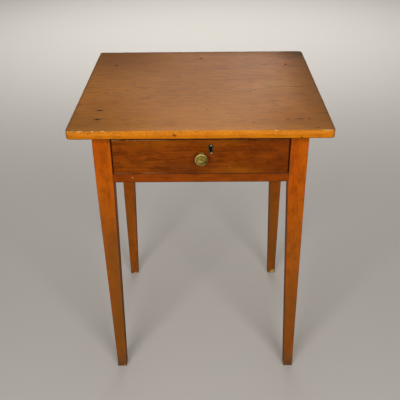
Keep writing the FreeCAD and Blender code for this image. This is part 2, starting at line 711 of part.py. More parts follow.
def lock_bolt():
    """A head on a forked plate that straddles the key; the right arm has the talon the key lifts."""
    y0 = BOLT_BACK - BOLT_PLATE_THICKNESS
    fork_left, fork_right = BOLT_LEFT + BOLT_ARM_WIDTH, BOLT_RIGHT - BOLT_ARM_WIDTH
    plate = box(BOLT_LEFT, BOLT_RIGHT, y0, BOLT_BACK, BOLT_FOOT, BOLT_SHOULDER)
    fork = box(fork_left, fork_right, y0, BOLT_BACK, BOLT_FOOT, BOLT_SHOULDER - BOLT_BRIDGE)
    talon_at = Vector(fork_right, y0, KEYHOLE_Z - BOLT_TALON)
    talon = Part.makeCylinder(BOLT_TALON, BOLT_PLATE_THICKNESS, talon_at, Vector(0, 1, 0))
    return joined([plate.cut([fork, talon]), bolt_head()])


def lock_pin():
    """The post that a barrel key turns on, seen through the keyhole."""
    tip = Vector(KEYHOLE_OFFSET, CASE_FRONT - PIN_REACH, KEYHOLE_Z)
    return Part.makeCylinder(PIN_DIAMETER / 2, PLATE_FRONT - tip.y, tip, Vector(0, 1, 0))


def lock_spring():
    """Bowed leaf between the case's left wall and the bolt's left arm."""
    wall = KEYHOLE_OFFSET - CASE_INNER_HALF
    crown = BOLT_LEFT - LOCK_RUNNING_GAP
    low, high = BOLT_FOOT, BOLT_SHOULDER
    middle = (low + high) / 2
    y = BOLT_BACK - SPRING_WIDTH

    def bow(inset):
        ends = Vector(wall, y, low + inset), Vector(wall, y, high - inset)
        return Part.Arc(ends[0], Vector(crown - inset, y, middle), ends[1]).toShape()

    outer, inner = bow(0), bow(SPRING_THICKNESS)
    feet = []
    for end in (0, -1):
        feet.append(Part.LineSegment(outer.Vertexes[end].Point, inner.Vertexes[end].Point).toShape())
    outline = Part.Wire(Part.__sortEdges__([outer, feet[0], inner, feet[1]]))
    return Part.Face(outline).extrude(Vector(0, SPRING_WIDTH, 0))


def lock_screws():
    """Flush screws at the corners of the plate, shanks plain."""
    radius = LOCK_SCREW_HEAD / 2
    head = prism(many_sided(LOCK_SCREW_HEAD, LOCK_SCREW_SIDES), Vector(0, 0, -LOCK_SCREW_HEAD_THICKNESS))
    shank = prism(many_sided(LOCK_SCREW_SHANK, LOCK_SCREW_SIDES), Vector(0, 0, -LOCK_SCREW_LENGTH))
    screw = joined([head, shank])
    x = LOCK_WIDTH / 2 - LOCK_SCREW_INSET
    heights = (LOCK_BOTTOM + LOCK_SCREW_INSET + radius, SELVAGE_BOTTOM - LOCK_SCREW_INSET - radius)
    screws = []
    for side in (-1, 1):
        for z in heights:
            screws.append(placed(screw, Vector(KEYHOLE_OFFSET + side * x, FRONT_BACK, z), Vector(0, -1, 0)))
    return screws


def build():
    """Every piece of the table by its node name."""
    pairs = {
        "leg_rear": rear_leg(),
        "apron": side_apron(),
        "drawer_runner": runner(),
        "drawer_guide": guide(),
        "drawer_kicker": kicker(),
        "drawer_side": drawer_side(),
    }
    nodes = {
        "tabletop": tabletop(),
        "leg_front_left": front_leg(FRONT_RACK),
        "leg_front_right": mirror_x(front_leg(-FRONT_RACK)),
        "apron_rear": rear_apron(),
        "upper_rail": upper_rail(),
        "lower_rail": lower_rail(),
        "drawer_front": drawer_front(),
        "drawer_back": drawer_back(),
        "drawer_bottom": drawer_bottom(),
        "drawer_knob": knob(),
        "knob_bolt": knob_bolt(),
        "knob_nut": knob_nut(),
        "keyhole_liner": keyhole_liner(),
        "lock_plate": lock_plate(),
        "lock_case": lock_case(),
        "lock_bolt": lock_bolt(),
        "lock_pin": lock_pin(),
        "lock_spring": lock_spring(),
        "drawer_stops": Part.makeCompound(both_sides([drawer_stop()])),
        "tenon_pegs": Part.makeCompound(both_sides(pegs())),
        "top_nails": Part.makeCompound(top_nails()),
        "strip_nails": Part.makeCompound(both_sides(strip_nails())),
        "drawer_bottom_nails": Part.makeCompound(bottom_nails()),
        "lock_screws": Part.makeCompound(lock_screws()),
    }
    for name, left in pairs.items():
        nodes[name + "_left"] = left
        nodes[name + "_right"] = mirror_x(left)
    return nodes


os.makedirs("parts", exist_ok=True)
for node_name, node_shape in build().items():
    node_shape.exportStep(os.path.join("parts", node_name + ".step"))
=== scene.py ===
import math

import bmesh
import bpy
import numpy as np
from mathutils import Matrix, Vector, noise


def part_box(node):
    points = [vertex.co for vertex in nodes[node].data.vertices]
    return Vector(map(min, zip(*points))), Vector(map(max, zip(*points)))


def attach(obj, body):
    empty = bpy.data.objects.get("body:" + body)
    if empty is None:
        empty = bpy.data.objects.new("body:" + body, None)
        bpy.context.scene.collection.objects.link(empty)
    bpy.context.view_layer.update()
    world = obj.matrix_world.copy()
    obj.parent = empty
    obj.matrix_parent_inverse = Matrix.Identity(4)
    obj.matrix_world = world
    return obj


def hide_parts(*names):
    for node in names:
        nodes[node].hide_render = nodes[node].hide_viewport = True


# Antique one-drawer tavern table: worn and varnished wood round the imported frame, with a turned brass knob.
# Metres. X runs to the right, Y to the back, Z up, and the floor is at 0.

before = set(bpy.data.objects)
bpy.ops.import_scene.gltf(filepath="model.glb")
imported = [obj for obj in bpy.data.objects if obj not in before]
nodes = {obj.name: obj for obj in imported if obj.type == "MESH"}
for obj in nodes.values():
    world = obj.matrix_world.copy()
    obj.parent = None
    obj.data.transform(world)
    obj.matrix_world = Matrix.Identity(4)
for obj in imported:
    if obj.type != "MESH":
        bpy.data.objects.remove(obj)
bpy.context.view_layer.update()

MM = 0.001
X, Y, Z = 0, 1, 2

# Camera: lens in millimetres, place, and how far it looks down and to the side and is turned on its axis
LENS = 55.84
CAMERA_AT = Vector((0.0111, -1.458, 1.270))
PITCH = math.radians(30.806)
YAW = math.radians(-0.614)
ROLL = math.radians(0.64)

# Lamps: place, aim, width, height, power in watts and spread in degrees
LAMPS = {
    "key_left": ((-0.85, -2.15, 1.68), (0.0, 0.0, 0.60), 0.9, 0.7, 27.4, 180),
    "key_right": ((0.85, -2.15, 1.68), (0.0, 0.0, 0.60), 0.9, 0.7, 25.4, 180),
    "backdrop": ((0.05, 2.1, 1.92), (0.0, 0.0, 0.73), 1.0, 1.0, 3.3, 180),
    "glow_behind": ((0.33, 2.0, 1.45), (0.0, 0.0, 0.73), 0.30, 0.9, 0.7, 180),
    "floor_far": ((0.0, 3.0, 2.6), (0.0, 3.3, 0.0), 4.0, 2.4, 52.0, 110),
    "floor_near": ((0.0, -4.6, 2.6), (0.0, -4.9, 0.0), 6.0, 2.4, 45.0, 100),
    "fill_behind": ((0.0, 3.4, 0.45), (0.0, 0.0, 0.60), 2.4, 0.4, 6.0, 40),
}

# Sky and floor
SKY = (0.84, 0.81, 0.77)
SKY_STRENGTH = 0.26
FLOOR_SIZE = 60.0
FLOOR_COLOUR = (0.56, 0.53, 0.49)

# Worn boxes: closer grid lines at the edges, and the sizes of nicks, waves and rubbed finish
END_LINES = np.array([0.0, 0.4, 0.9, 1.5, 2.3, 3.4, 5.0]) * MM
LEAST_STEP = 0.35 * MM
LEAST_ROUND = 0.3 * MM
NICK_DEPTH = 1.6 * MM
SLOW_WAVE = 0.11 * MM
QUICK_WAVE = 0.03 * MM
WEAR_REACH = 2.2 * MM

# Rounded edges, share of nicks and grid steps of the worn pieces
TOP_ROUND = 1.5 * MM
LEG_ROUND = 1.5 * MM
BOARD_ROUND = 0.9 * MM
TOP_NICKS = 0.8
BOARD_NICKS = 0.6
TOP_STEPS = (9 * MM, 9 * MM, 4 * MM)
LEG_STEPS = (6 * MM, 6 * MM, 9 * MM)
BOARD_STEP = 9 * MM

# Radius of the top's corners, seen from above: left and right, at the front and at the back
CORNER_ROUNDS = {(-1, -1): 9 * MM, (1, -1): 8 * MM, (-1, 1): 7 * MM, (1, 1): 12 * MM}

# Sunk nails of the top: reach, slope and depth of the dip
NAIL_REACH = 3.1 * MM
NAIL_RAMP = 1.2 * MM
NAIL_SINK = 1.0 * MM

# Stain round the nails: how far it is drawn out along the grain, and its depth
FRONT_NAIL_STAIN = (3.0, 0.75)
REAR_NAIL_STAIN = (1.4, 0.35)

# Greatest width of a nail's head
NAIL_HEAD = 8 * MM

# Fades of stain, dirt, painted shade, bare wood, and wear with painted highlights: the distance where each
# begins, and where it is whole
NAIL_STAIN_FADE = (5.5 * MM, 2.5 * MM)
TOP_RIM_FADE = (9 * MM, 1 * MM)
UNDER_BORDER_FADE = (12 * MM, 6 * MM)
UNDER_SHADE_FADE = (2.6 * MM, 1.0 * MM)
UNDER_RAW_FADE = (0.9 * MM, 0.5 * MM)
RAW_INSET_FADE = (2 * MM, 9 * MM)
UPPER_FADE = (2.5 * MM, 1.5 * MM)
FRONT_EDGE_FADE = (5 * MM, 2 * MM)
LEG_INNER_FADE = (1.2 * MM, 0.4 * MM)
BOARD_RAW_FADE = (1.6 * MM, 0.6 * MM)
BOARD_EDGE_SHADE_FADE = (3.5 * MM, 0.6 * MM)
DRAWER_RIM_WEAR_AND_HIGHLIGHT_FADE = (2.4 * MM, 0.6 * MM)
DRAWER_END_SHADE_FADE = (2.0 * MM, 0.4 * MM)
END_GRAIN_FADE = (0.6 * MM, 0.2 * MM)

# Depth of darkening: the top's darker sides, painted shade on the border below it, dirt on the feet,
# painted shade on the legs' inner faces and on the left one of these beside the drawer, and painted shade
# at the boards' edges
TOP_RIM_DARKENING = 0.4
UNDER_BORDER_SHADE = 0.95
FOOT_DIRT = 0.35
LEG_INNER_SHADE = 0.45
DRAWER_SIDE_SHADE = 0.05
BOARD_EDGE_SHADE = 0.7

# Share of the worn edges' wear that shows on each kind of piece
TOP_WEAR = 0.15
# At the front edge of the top this wear also stands for a painted highlight along the arris
FRONT_ARRIS_WEAR_AND_HIGHLIGHT = 0.45
LEG_WEAR = 0.35
BOARD_WEAR = 0.25

# Dull parts of the top, darkened as painted shade where its sheen falls off: side and end of the corner,
# reach and depth
DULL_SHADED_CORNERS = (
    (-1, -1, 0.24, 0.5),
    (1, -1, 0.22, 0.42),
    (-1, 1, 0.32, 0.62),
    (1, 1, 0.14, 0.5),
    (-1, 0, 0.10, 0.1),
)

# Dull right side and back of the top, darkened as painted shade: axis, reach and depth
DULL_SHADED_SIDES = ((X, 0.09, 0.55), (Y, 0.045, 0.3))

# Stained corner of the top, at the right of the back: reach and depth
STAINED_CORNER = (0.12, 0.85)

# Painted sheen on the top, laid in as paler wear: middle, half sizes and depth
PAINTED_SHEEN_PATCHES = ((0.0, -0.17, 0.24, 0.13, 0.45), (0.155, 0.0, 0.12, 0.06, 0.5))

# Rubbed front of the top: reach and depth
RUBBED_FRONT = (0.034, 0.65)

# Marks on the top, in millimetres: to the right of its middle and to the back, and their half sizes
TOP_CHECKS = (
    (211, -14, 75, 2.4), (249, 137, 38, 2.8), (235, -62, 22, 1.8), (216, -210, 12, 4.5),
    (191, -214, 7, 3.0), (-166, 15, 8, 3.2), (-225, -52, 9, 3.4), (-260, -43, 20, 2.2),
    (-146, -12, 24, 2.4), (-277, -123, 6, 3.0), (-60, 28, 50, 1.2),
)
TOP_DENTS = (
    (16, -154, 3.5, 3.0), (120, -46, 3.5, 3.0), (248, -256, 4.0, 3.2), (115, -228, 3.0, 2.8),
    (237, -210, 1.8, 6.0),
)
TOP_FLECKS = ((-28, -261, 2.4, 2.2),)

# Pale chips along the upper front edge of the top, worn and painted as highlights, in millimetres from its
# middle, and their half lengths
ARRIS_CHIPS_AND_HIGHLIGHTS = ((-279, 3), (-269, 3), (-253, 8), (-226, 4), (-205, 6), (160, 5), (268, 15))
ARRIS_INSET = 0.5 * MM
ARRIS_THICK = 2.0 * MM

# Marks on front faces, in millimetres: right of the middle, above the lower edge, half width, half height
EDGE_KNOTS = ((-54.6, 9.0, 5.0, 4.2),)
EDGE_DENTS = ((214, 2.5, 2.4, 2.2), (-53.0, 8.0, 2.2, 1.8), (-236, 13.5, 4.0, 1.4))
EDGE_FLECKS = ((5, 1.3, 2.0, 1.0),)
RAIL_SHADES = ((35, 11, 120, 30),)
RAIL_CHIPS = ((-155, 12.5, 2.2, 1.8),)
DRAWER_SCUFFS = ((-30, 16.5, 10, 4.0), (-36, 8.5, 8, 3.5))
# The drawer's lighter parts are painted light on its upper part, where the top's overhang shades it, and a
# lighter patch low at the right
DRAWER_PAINTED_LIGHTS = ((-90, 78.5, 125, 20), (40, 77.5, 85, 18), (85, 8, 80, 24))
DRAWER_SHADES = ((-37, 17, 100, 36),)
DRAWER_SCRATCHES = ((65.5, 15.4, 4.2, 0.7),)

# How far a mark reaches into the wood
MARK_DEPTH = 4 * MM

# Half sizes of the darker patches at the ends of the top's front edge, and how far back they lie
EDGE_END_DARK = (3.4 * MM, 8 * MM, 14 * MM)
EDGE_END_DARK_INSET = 3 * MM

# Half sizes of the painted shadow of the knob on the drawer round it
KNOB_SHADOW = (24 * MM, MARK_DEPTH, 14 * MM)

# Rub at the foot of the keyhole's liner: right of its middle, above its lower end, and half sizes
LINER_RUB_AT = (1.0 * MM, 2.2 * MM)
LINER_RUB = (3.2 * MM, 3 * MM, 2.0 * MM)

# Drawer's front: where along X its rims are rubbed and carry a painted highlight least and most, the depth of
# its finish, and the depth and inset of the grime and painted shade on its upper edge
RIM_WEAR_AND_HIGHLIGHT_SPAN = (-0.05, -0.12)
FINISH_DEPTH = (1.6 * MM, 2.2 * MM)
UPPER_EDGE_DEPTH = (0.6 * MM, 0.3 * MM)
UPPER_GRIME_AND_SHADE_INSET = (0.8 * MM, 1.2 * MM)

# Ragged outline of a mark: ripples across half its size, and waves by which marks along X differ
RIPPLES = 1.3
RIPPLE_SHIFT = 170

# How dull each leg is below, and the height where that is reached
LEG_DUST = {
    "leg_front_left": (0.80, 0.36),
    "leg_front_right": (0.75, 0.20),
    "leg_rear_left": (0.75, 0.20),
    "leg_rear_right": (0.90, 0.20),
}

# Least dullness of the rear legs, which is painted shade, how far above the taper a leg is dull, and the
# heights of dust and dirt
REAR_LEG_SHADE = 0.35
LEG_DUST_RISE = 60 * MM
FOOT_DUST_HEIGHT = 75 * MM
FOOT_DIRT_HEIGHT = 50 * MM

# Chips of the feet: share of the way across, and in millimetres the height and three half sizes
FOOT_CHIPS = {
    "leg_rear_right": (0.66, 6, 9.5, 6, 9.5),
    "leg_rear_left": (0.68, 2, 8.5, 6, 5.0),
    "leg_front_left": (0.80, 3, 3.0, 5, 2.8),
}

# Turned knob: its foot, neck, disc with a bead round the rim, and sunk face with a dimple
KNOB_FOOT = 8.5 * MM
KNOB_FOOT_LIFT = 0.3 * MM
KNOB_FOOT_EDGE = 0.4 * MM
KNOB_FOOT_ROUND = 1.2 * MM
KNOB_FOOT_THICK = 2.5 * MM
KNOB_NECK = 5.5 * MM
NECK_FILLET = 1.1 * MM
DISC_THICK = 5.7 * MM
DISC_EDGE = 0.6 * MM
DISC_SIDE = 2.1 * MM
BEAD = 1.2 * MM
FACE_SINK = 1.5 * MM
FACE_FILLET = 0.5 * MM
FACE_SWELL = ((8.0 * MM, 0.25 * MM), (5.0 * MM, 0.40 * MM))
DIMPLE_RING = 2.3 * MM
DIMPLE_EDGE = 0.5 * MM
DIMPLE = ((1.0 * MM, -0.35 * MM), (0.0, -0.5 * MM))

# Finish of the knob: where its bead, a spot on its face and the upper side of its foot carry painted
# highlights, how far the highlighted side lies to the left, where its back, middle, dimple and groove are
# grimy, and where its lower side has painted shade
BEAD_INSET = 2.6 * MM
KNOB_HIGHLIGHT_AT = (-3.0 * MM, -3.5 * MM)
KNOB_HIGHLIGHT_FADE = (6.5 * MM, 1.5 * MM)
KNOB_FOOT_FADE = (3.4 * MM, 2.6 * MM)
KNOB_FOOT_RISE = (2 * MM, 7 * MM)
KNOB_LEAN = 0.7
KNOB_BACK_FADE = (9 * MM, 5 * MM)
KNOB_MIDDLE_FADE = (1.6 * MM, 0.6 * MM)
DIMPLE_FADE = (2.6 * MM, 1.4 * MM)
GROOVE_INSET = 3.1 * MM
GROOVE_WIDTH = 0.8 * MM
KNOB_SHADE_FROM = 5 * MM


# Camera, stage and lamps


def add_camera():
    ahead = Vector((math.sin(YAW) * math.cos(PITCH), math.cos(YAW) * math.cos(PITCH), -math.sin(PITCH)))
    right = ahead.cross(Vector((0, 0, 1))).normalized()
    down = ahead.cross(right)
    turned_right = right * math.cos(ROLL) + down * math.sin(ROLL)
    turned_up = right * math.sin(ROLL) - down * math.cos(ROLL)
    data = bpy.data.cameras.new("camera")
    data.lens = LENS
    camera = bpy.data.objects.new("camera", data)
    bpy.context.scene.collection.objects.link(camera)
    axes = Matrix((turned_right, turned_up, -ahead)).transposed()
    camera.matrix_world = Matrix.Translation(CAMERA_AT) @ axes.to_4x4()
    bpy.context.scene.camera = camera


def add_lamps():
    for name, (at, aim, width, height, power, spread) in LAMPS.items():
        data = bpy.data.lights.new(name, "AREA")
        data.shape = "RECTANGLE"
        data.size = width
        data.size_y = height
        data.energy = power
        data.spread = math.radians(spread)
        lamp = bpy.data.objects.new(name, data)
        lamp.location = at
        lamp.rotation_euler = (Vector(aim) - Vector(at)).to_track_quat("-Z", "Y").to_euler()
        lamp.visible_camera = False
        bpy.context.scene.collection.objects.link(lamp)


def add_sky():
    world = bpy.data.worlds.new("studio")
    world.use_nodes = True
    background = world.node_tree.nodes["Background"]
    background.inputs["Color"].default_value = (*SKY, 1)
    background.inputs["Strength"].default_value = SKY_STRENGTH
    bpy.context.scene.world = world
    bpy.context.scene.view_settings.view_transform = "Standard"


def add_floor():
    half = FLOOR_SIZE / 2
    corners = [(-half, -half, 0), (half, -half, 0), (half, half, 0), (-half, half, 0)]
    floor = add_mesh("floor", corners, [(0, 1, 2, 3)])
    paint = Graph("floor")
    paint.set(**{"Base Color": (*FLOOR_COLOUR, 1), "Roughness": 0.9, "Specular IOR Level": 0.1})
    floor.data.materials.append(paint.material)


# Meshes


def add_mesh(name, points, faces, smooth=False, **attributes):
    """An object of these points and faces, with one number per point for each named attribute."""
    mesh = bpy.data.meshes.new(name)
    mesh.from_pydata([tuple(p) for p in points], [], [tuple(f) for f in faces])
    mesh.update()
    if smooth:
        mesh.polygons.foreach_set("use_smooth", [True] * len(mesh.polygons))
    for key, values in attributes.items():
        layer = mesh.attributes.new(key, "FLOAT", "POINT")
        layer.data.foreach_set("value", np.asarray(values, np.float32))
    piece = bpy.data.objects.new(name, mesh)
    bpy.context.scene.collection.objects.link(piece)
    return piece


def field(points, waves, shift=0.0):
    """Smooth noise from -1 to 1 at each point, with so many waves per metre along each axis."""
    return np.array([noise.noise(Vector(p)) for p in points * np.array(waves) + shift])


def smoothstep(low, high, values):
    """0 before low and 1 past high, with a smooth rise between; low may be the larger one."""
    share = np.clip((values - low) / (high - low), 0, 1)
    return share * share * (3 - 2 * share)


def grid_lines(low, high, step, places=(), reach=0.0, fine=1.0 * MM):
    """Grid lines from low to high: even, closer at both ends, and fine within reach of some places."""
    even = np.linspace(low, high, max(2, round((high - low) / step) + 1))
    lines = [low + END_LINES, high - END_LINES, even]
    for place in places:
        lines.append(np.arange(place - reach, place + reach + fine / 2, fine))
    lines = np.unique(np.concatenate(lines))
    lines = lines[(lines >= low) & (lines <= high)]
    kept = [lines[0]]
    for line in lines[1:-1]:
        if line - kept[-1] > LEAST_STEP and lines[-1] - line > LEAST_STEP:
            kept.append(line)
    return np.array(kept + [lines[-1]])


def shell(*lines):
    """Points and quads of a closed box drawn on the grid lines of its three axes."""
    edge = np.zeros([len(row) for row in lines], bool)
    for axis in range(3):
        np.moveaxis(edge, axis, 0)[[0, -1]] = True
    index = np.full(edge.shape, -1)
    index[edge] = np.arange(edge.sum())
    points = np.stack(np.meshgrid(*lines, indexing="ij"), -1)[edge]
    quads = []
    for axis in range(3):
        for side in (0, -1):
            sheet = np.take(index, side, axis)
            turn = [sheet[:-1, :-1], sheet[1:, :-1], sheet[1:, 1:], sheet[:-1, 1:]]
            if (side == 0) != (axis == 1):
                turn.reverse()
            quads.append(np.stack(turn, -1).reshape(-1, 4))
    return points, np.concatenate(quads)


def edge_distance(points, low, high):
    """How far each point on a box lies from the nearest edge of the face it is on."""
    gaps = np.sort(np.minimum(points - np.array(low), np.array(high) - points), axis=1)
    return gaps[:, 1]


def worn_block(low, high, radius, steps, nicks=1.0, places=((), (), ()), reach=0.0):
    """Points, quads and wear of a box whose faces waver and whose edges are unevenly round and nicked."""
    low, high = np.array(low), np.array(high)
    lines = [grid_lines(low[i], high[i], steps[i], places[i], reach) for i in range(3)]
    points, quads = shell(*lines)
    slow = field(points, 9, 3.1)
    quick = field(points, 55, 7.7)
    nick = smoothstep(0.42, 0.75, field(points, 38, 11.3)) * nicks
    size = radius * (1 + 0.45 * slow + 0.2 * quick) + NICK_DEPTH * nick
    size = np.clip(size, LEAST_ROUND, (high - low).min() / 2.2)[:, None]
    inner = np.clip(points, low + size, high - size)
    offset = points - inner
    outward = offset / np.maximum(np.linalg.norm(offset, axis=1, keepdims=True), 1e-9)
    dip = SLOW_WAVE * (1 + field(points, 14, 21.0)) + QUICK_WAVE * (1 + field(points, 60, 5.0))
    worn = inner + outward * (size - dip[:, None])
    near_edge = np.exp(-edge_distance(points, low, high) / WEAR_REACH)
    wear = near_edge * np.clip(0.55 + 0.6 * slow + 0.5 * quick + nick, 0, 1)
    return worn, quads, wear


def lathe(profile, at, around=96):
    """Points and quads turned about a forward axis through a place; a profile has radius and reach."""
    points = []
    for radius, reach in profile:
        for i in range(around):
            turn = 2 * math.pi * i / around
            points.append((at.x + radius * math.cos(turn), at.y - reach, at.z + radius * math.sin(turn)))
    faces = []
    for row in range(len(profile) - 1):
        first, second = row * around, (row + 1) * around
        for i in range(around):
            after = (i + 1) % around
            faces.append((first + i, second + i, second + after, first + after))
    return points, faces


def arc(centre, radius, start, end, count):
    """Points on an arc of a profile, with angles in degrees from outwards towards the front."""
    turns = np.radians(np.linspace(start, end, count))
    return [(centre[0] + radius * math.cos(t), centre[1] + radius * math.sin(t)) for t in turns]


# Node graphs of the materials


class Graph:
    """A material's nodes, with short calls that add one and give its output."""

    def __init__(self, name):
        self.material = bpy.data.materials.new(name)
        self.material.use_nodes = True
        self.tree = self.material.node_tree
        self.shader = self.tree.nodes["Principled BSDF"]
        self.at = self.add("TexCoord").outputs["Object"]

    def add(self, kind, **settings):
        node = self.tree.nodes.new("ShaderNode" + kind)
        for key, value in settings.items():
            setattr(node, key, value)
        return node

    def feed(self, socket, value):
        if isinstance(value, bpy.types.NodeSocket):
            self.tree.links.new(value, socket)
        elif socket.type == "RGBA" and len(value) == 3:
            socket.default_value = (*value, 1)
        else:
            socket.default_value = value

    def set(self, **values):
        for key, value in values.items():
            self.feed(self.shader.inputs[key], value)

    def math(self, operation, *values):
        node = self.add("Math", operation=operation)
        for socket, value in zip(node.inputs, values):
            self.feed(socket, value)
        return node.outputs[0]

    def vector(self, operation, *values):
        node = self.add("VectorMath", operation=operation)
        for socket, value in zip(node.inputs, values):
            self.feed(socket, value)
        return node.outputs["Value" if operation == "LENGTH" else "Vector"]

    def noise(self, scale, detail=2.0, rough=0.5, shift=0.0):
        """Noise from 0 to 1, with scale as waves per metre along each axis."""
        place = self.vector("MULTIPLY_ADD", self.at, scale, (shift, shift, shift))
        node = self.add("TexNoise")
        self.feed(node.inputs["Vector"], place)
        self.feed(node.inputs["Scale"], 1.0)
        self.feed(node.inputs["Detail"], detail)
        self.feed(node.inputs["Roughness"], rough)
        return node.outputs["Fac"]

    def ramp(self, value, low, high, out_low=0.0, out_high=1.0):
        node = self.add("MapRange", interpolation_type="SMOOTHSTEP")
        for key, number in zip(range(5), (value, low, high, out_low, out_high)):
            self.feed(node.inputs[key], number)
        return node.outputs[0]

    def mix(self, share, first, second):
        node = self.add("Mix", data_type="RGBA")
        self.feed(node.inputs["Factor"], share)
        self.feed(node.inputs[6], first)
        self.feed(node.inputs[7], second)
        return node.outputs[2]

    def lay(self, share, strength, colour, tone):
        """The colour with a tone laid over it, as strong as a share times a number."""
        return self.mix(self.math("MULTIPLY", share, strength), colour, tone)

    def attribute(self, name):
        return self.add("Attribute", attribute_name=name).outputs["Fac"]

    def spot(self, at, half, soft=0.5, ragged=0.5, turn=0.0):
        """1 in an uneven patch about a place and 0 outside, with half sizes along axes turned about Y."""
        offset = self.vector("SUBTRACT", self.at, at)
        if turn:
            turned = self.add("VectorRotate", rotation_type="Y_AXIS")
            self.feed(turned.inputs["Vector"], offset)
            self.feed(turned.inputs["Angle"], math.radians(turn))
            offset = turned.outputs[0]
        away = self.vector("LENGTH", self.vector("DIVIDE", offset, half))
        waves = tuple(RIPPLES / size for size in half)
        ripple = self.noise(waves, 3.0, 0.6, shift=at[X] * RIPPLE_SHIFT)
        uneven = self.math("MULTIPLY_ADD", ripple, 2 * ragged, away)
        return self.ramp(uneven, 1 + ragged, 1 + ragged - soft)

    def most(self, values):
        """The largest of some values."""
        result = 0.0
        for value in values:
            result = self.math("MAXIMUM", value, result)
        return result

    def split(self):
        """The three coordinates of the place."""
        node = self.add("SeparateXYZ")
        self.feed(node.inputs[0], self.at)
        return node.outputs

    def bump(self, height, strength, distance):
        node = self.add("Bump")
        self.feed(node.inputs["Height"], height)
        self.feed(node.inputs["Strength"], strength)
        self.feed(node.inputs["Distance"], distance)
        self.set(Normal=node.outputs[0])


# Tones of wood in bad places, where the stained, grimy and dusty ones also stand for painted shade: stained,
# grimy, dusty, bare, cut across, and never finished
STAIN_AND_SHADE_TONE = (0.030, 0.016, 0.008)
GRIME_AND_SHADE = (0.070, 0.028, 0.012)
DUST_AND_SHADE_TONE = (0.165, 0.063, 0.009)
FOOT_DUST = (0.165, 0.065, 0.020)
BARE = (0.48, 0.36, 0.13)
END_GRAIN = (0.13, 0.062, 0.026)
UNFINISHED = ((0.40, 0.24, 0.115), (0.20, 0.105, 0.046))

# Tones of single marks
CHECK_TONE = (0.075, 0.022, 0.006)
DENT_TONE = (0.070, 0.020, 0.006)
FLECK_TONE = (0.62, 0.44, 0.24)
ARRIS_TONE = (0.74, 0.46, 0.17)
KNOT_TONE = (0.24, 0.040, 0.003)
EDGE_END_TONE = (0.10, 0.024, 0.003)
EDGE_DENT_TONE = (0.060, 0.012, 0.003)
RAIL_SHADE_TONE = (0.10, 0.024, 0.001)
RAIL_CHIP_TONE = (0.60, 0.34, 0.16)
DRAWER_RIM_WEAR_AND_HIGHLIGHT_TONE = (0.50, 0.24, 0.10)
DRAWER_END_SHADE_TONE = (0.06, 0.012, 0.003)
DRAWER_SCUFF_TONE = (0.40, 0.20, 0.06)
DRAWER_PAINTED_LIGHT_TONE = (0.42, 0.12, 0.002)
DRAWER_SHADE_TONE = (0.06, 0.014, 0.002)
DRAWER_KNOB_SHADOW_TONE = (0.05, 0.010, 0.001)
DRAWER_SCRATCH_TONE = (0.45, 0.19, 0.07)
LINER_RUB_TONE = (0.85, 0.62, 0.44)

# Palettes of the woods: pale, deep and red
TOP_TONES = ((0.66, 0.230, 0.007), (0.33, 0.090, 0.003), (0.55, 0.151, 0.003))
EDGE_TONES = ((0.61, 0.188, 0.003), (0.34, 0.080, 0.001), (0.53, 0.138, 0.001))
LEG_TONES = ((0.50, 0.106, 0.0010), (0.26, 0.046, 0.0005), (0.42, 0.067, 0.0005))
FRAME_TONES = ((0.31, 0.064, 0.0015), (0.14, 0.024, 0.001), (0.27, 0.042, 0.001))
# The shaded palette is the frame's, darkened as painted shade for the upper rail in the gap above the drawer
SHADED_TONES = ((0.08, 0.016, 0.001), (0.04, 0.007, 0.001), (0.07, 0.011, 0.001))
DRAWER_TONES = ((0.29, 0.069, 0.0020), (0.09, 0.016, 0.0005), (0.23, 0.038, 0.0005))
RAW_TONES = ((0.50, 0.315, 0.15), (0.33, 0.185, 0.075), (0.45, 0.26, 0.11))
PEG_TONES = ((0.22, 0.055, 0.006), (0.10, 0.022, 0.003), (0.17, 0.036, 0.003))

# Palettes of the metals: bright, dull and dark
BRASS_TONES = ((0.46, 0.34, 0.075), (0.26, 0.19, 0.035), (0.06, 0.04, 0.01))
DULL_BRASS_TONES = ((0.26, 0.21, 0.10), (0.13, 0.105, 0.045), (0.04, 0.03, 0.015))
LINER_TONES = ((0.10, 0.088, 0.042), (0.05, 0.045, 0.022), (0.02, 0.016, 0.008))
# The steel is paler than real steel, a painted glint on the lock's pin
GLINT_STEEL_TONES = ((0.95, 0.93, 0.90), (0.85, 0.83, 0.80), (0.60, 0.57, 0.53))
IRON_TONES = ((0.10, 0.085, 0.075), (0.05, 0.04, 0.035), (0.05, 0.022, 0.012))
RUST_TONES = ((0.10, 0.060, 0.040), (0.06, 0.032, 0.020), (0.03, 0.014, 0.008))

# Where the pith of each board's tree lay, which sets the curve of its rings
TOP_PITH = (0.0, 0.03, 0.60)
LEG_PITH = (0.05, 0.02, 0.0)
FRAME_PITH = (0.0, -0.12, 0.52)
SIDE_PITH = (0.10, 0.0, 0.60)
DRAWER_PITH = (0.0, -0.30, 0.66)
RAW_PITH = (0.0, 0.05, 0.50)
RAW_SIDE_PITH = (0.08, 0.0, 0.55)
PEG_PITH = (0.0, 0.0, 0.636)


# Wood


def along(grain, across, lengthways):
    """Waves per metre across the grain and along it, as one number per axis."""
    return tuple(lengthways if axis == grain else across for axis in range(3))


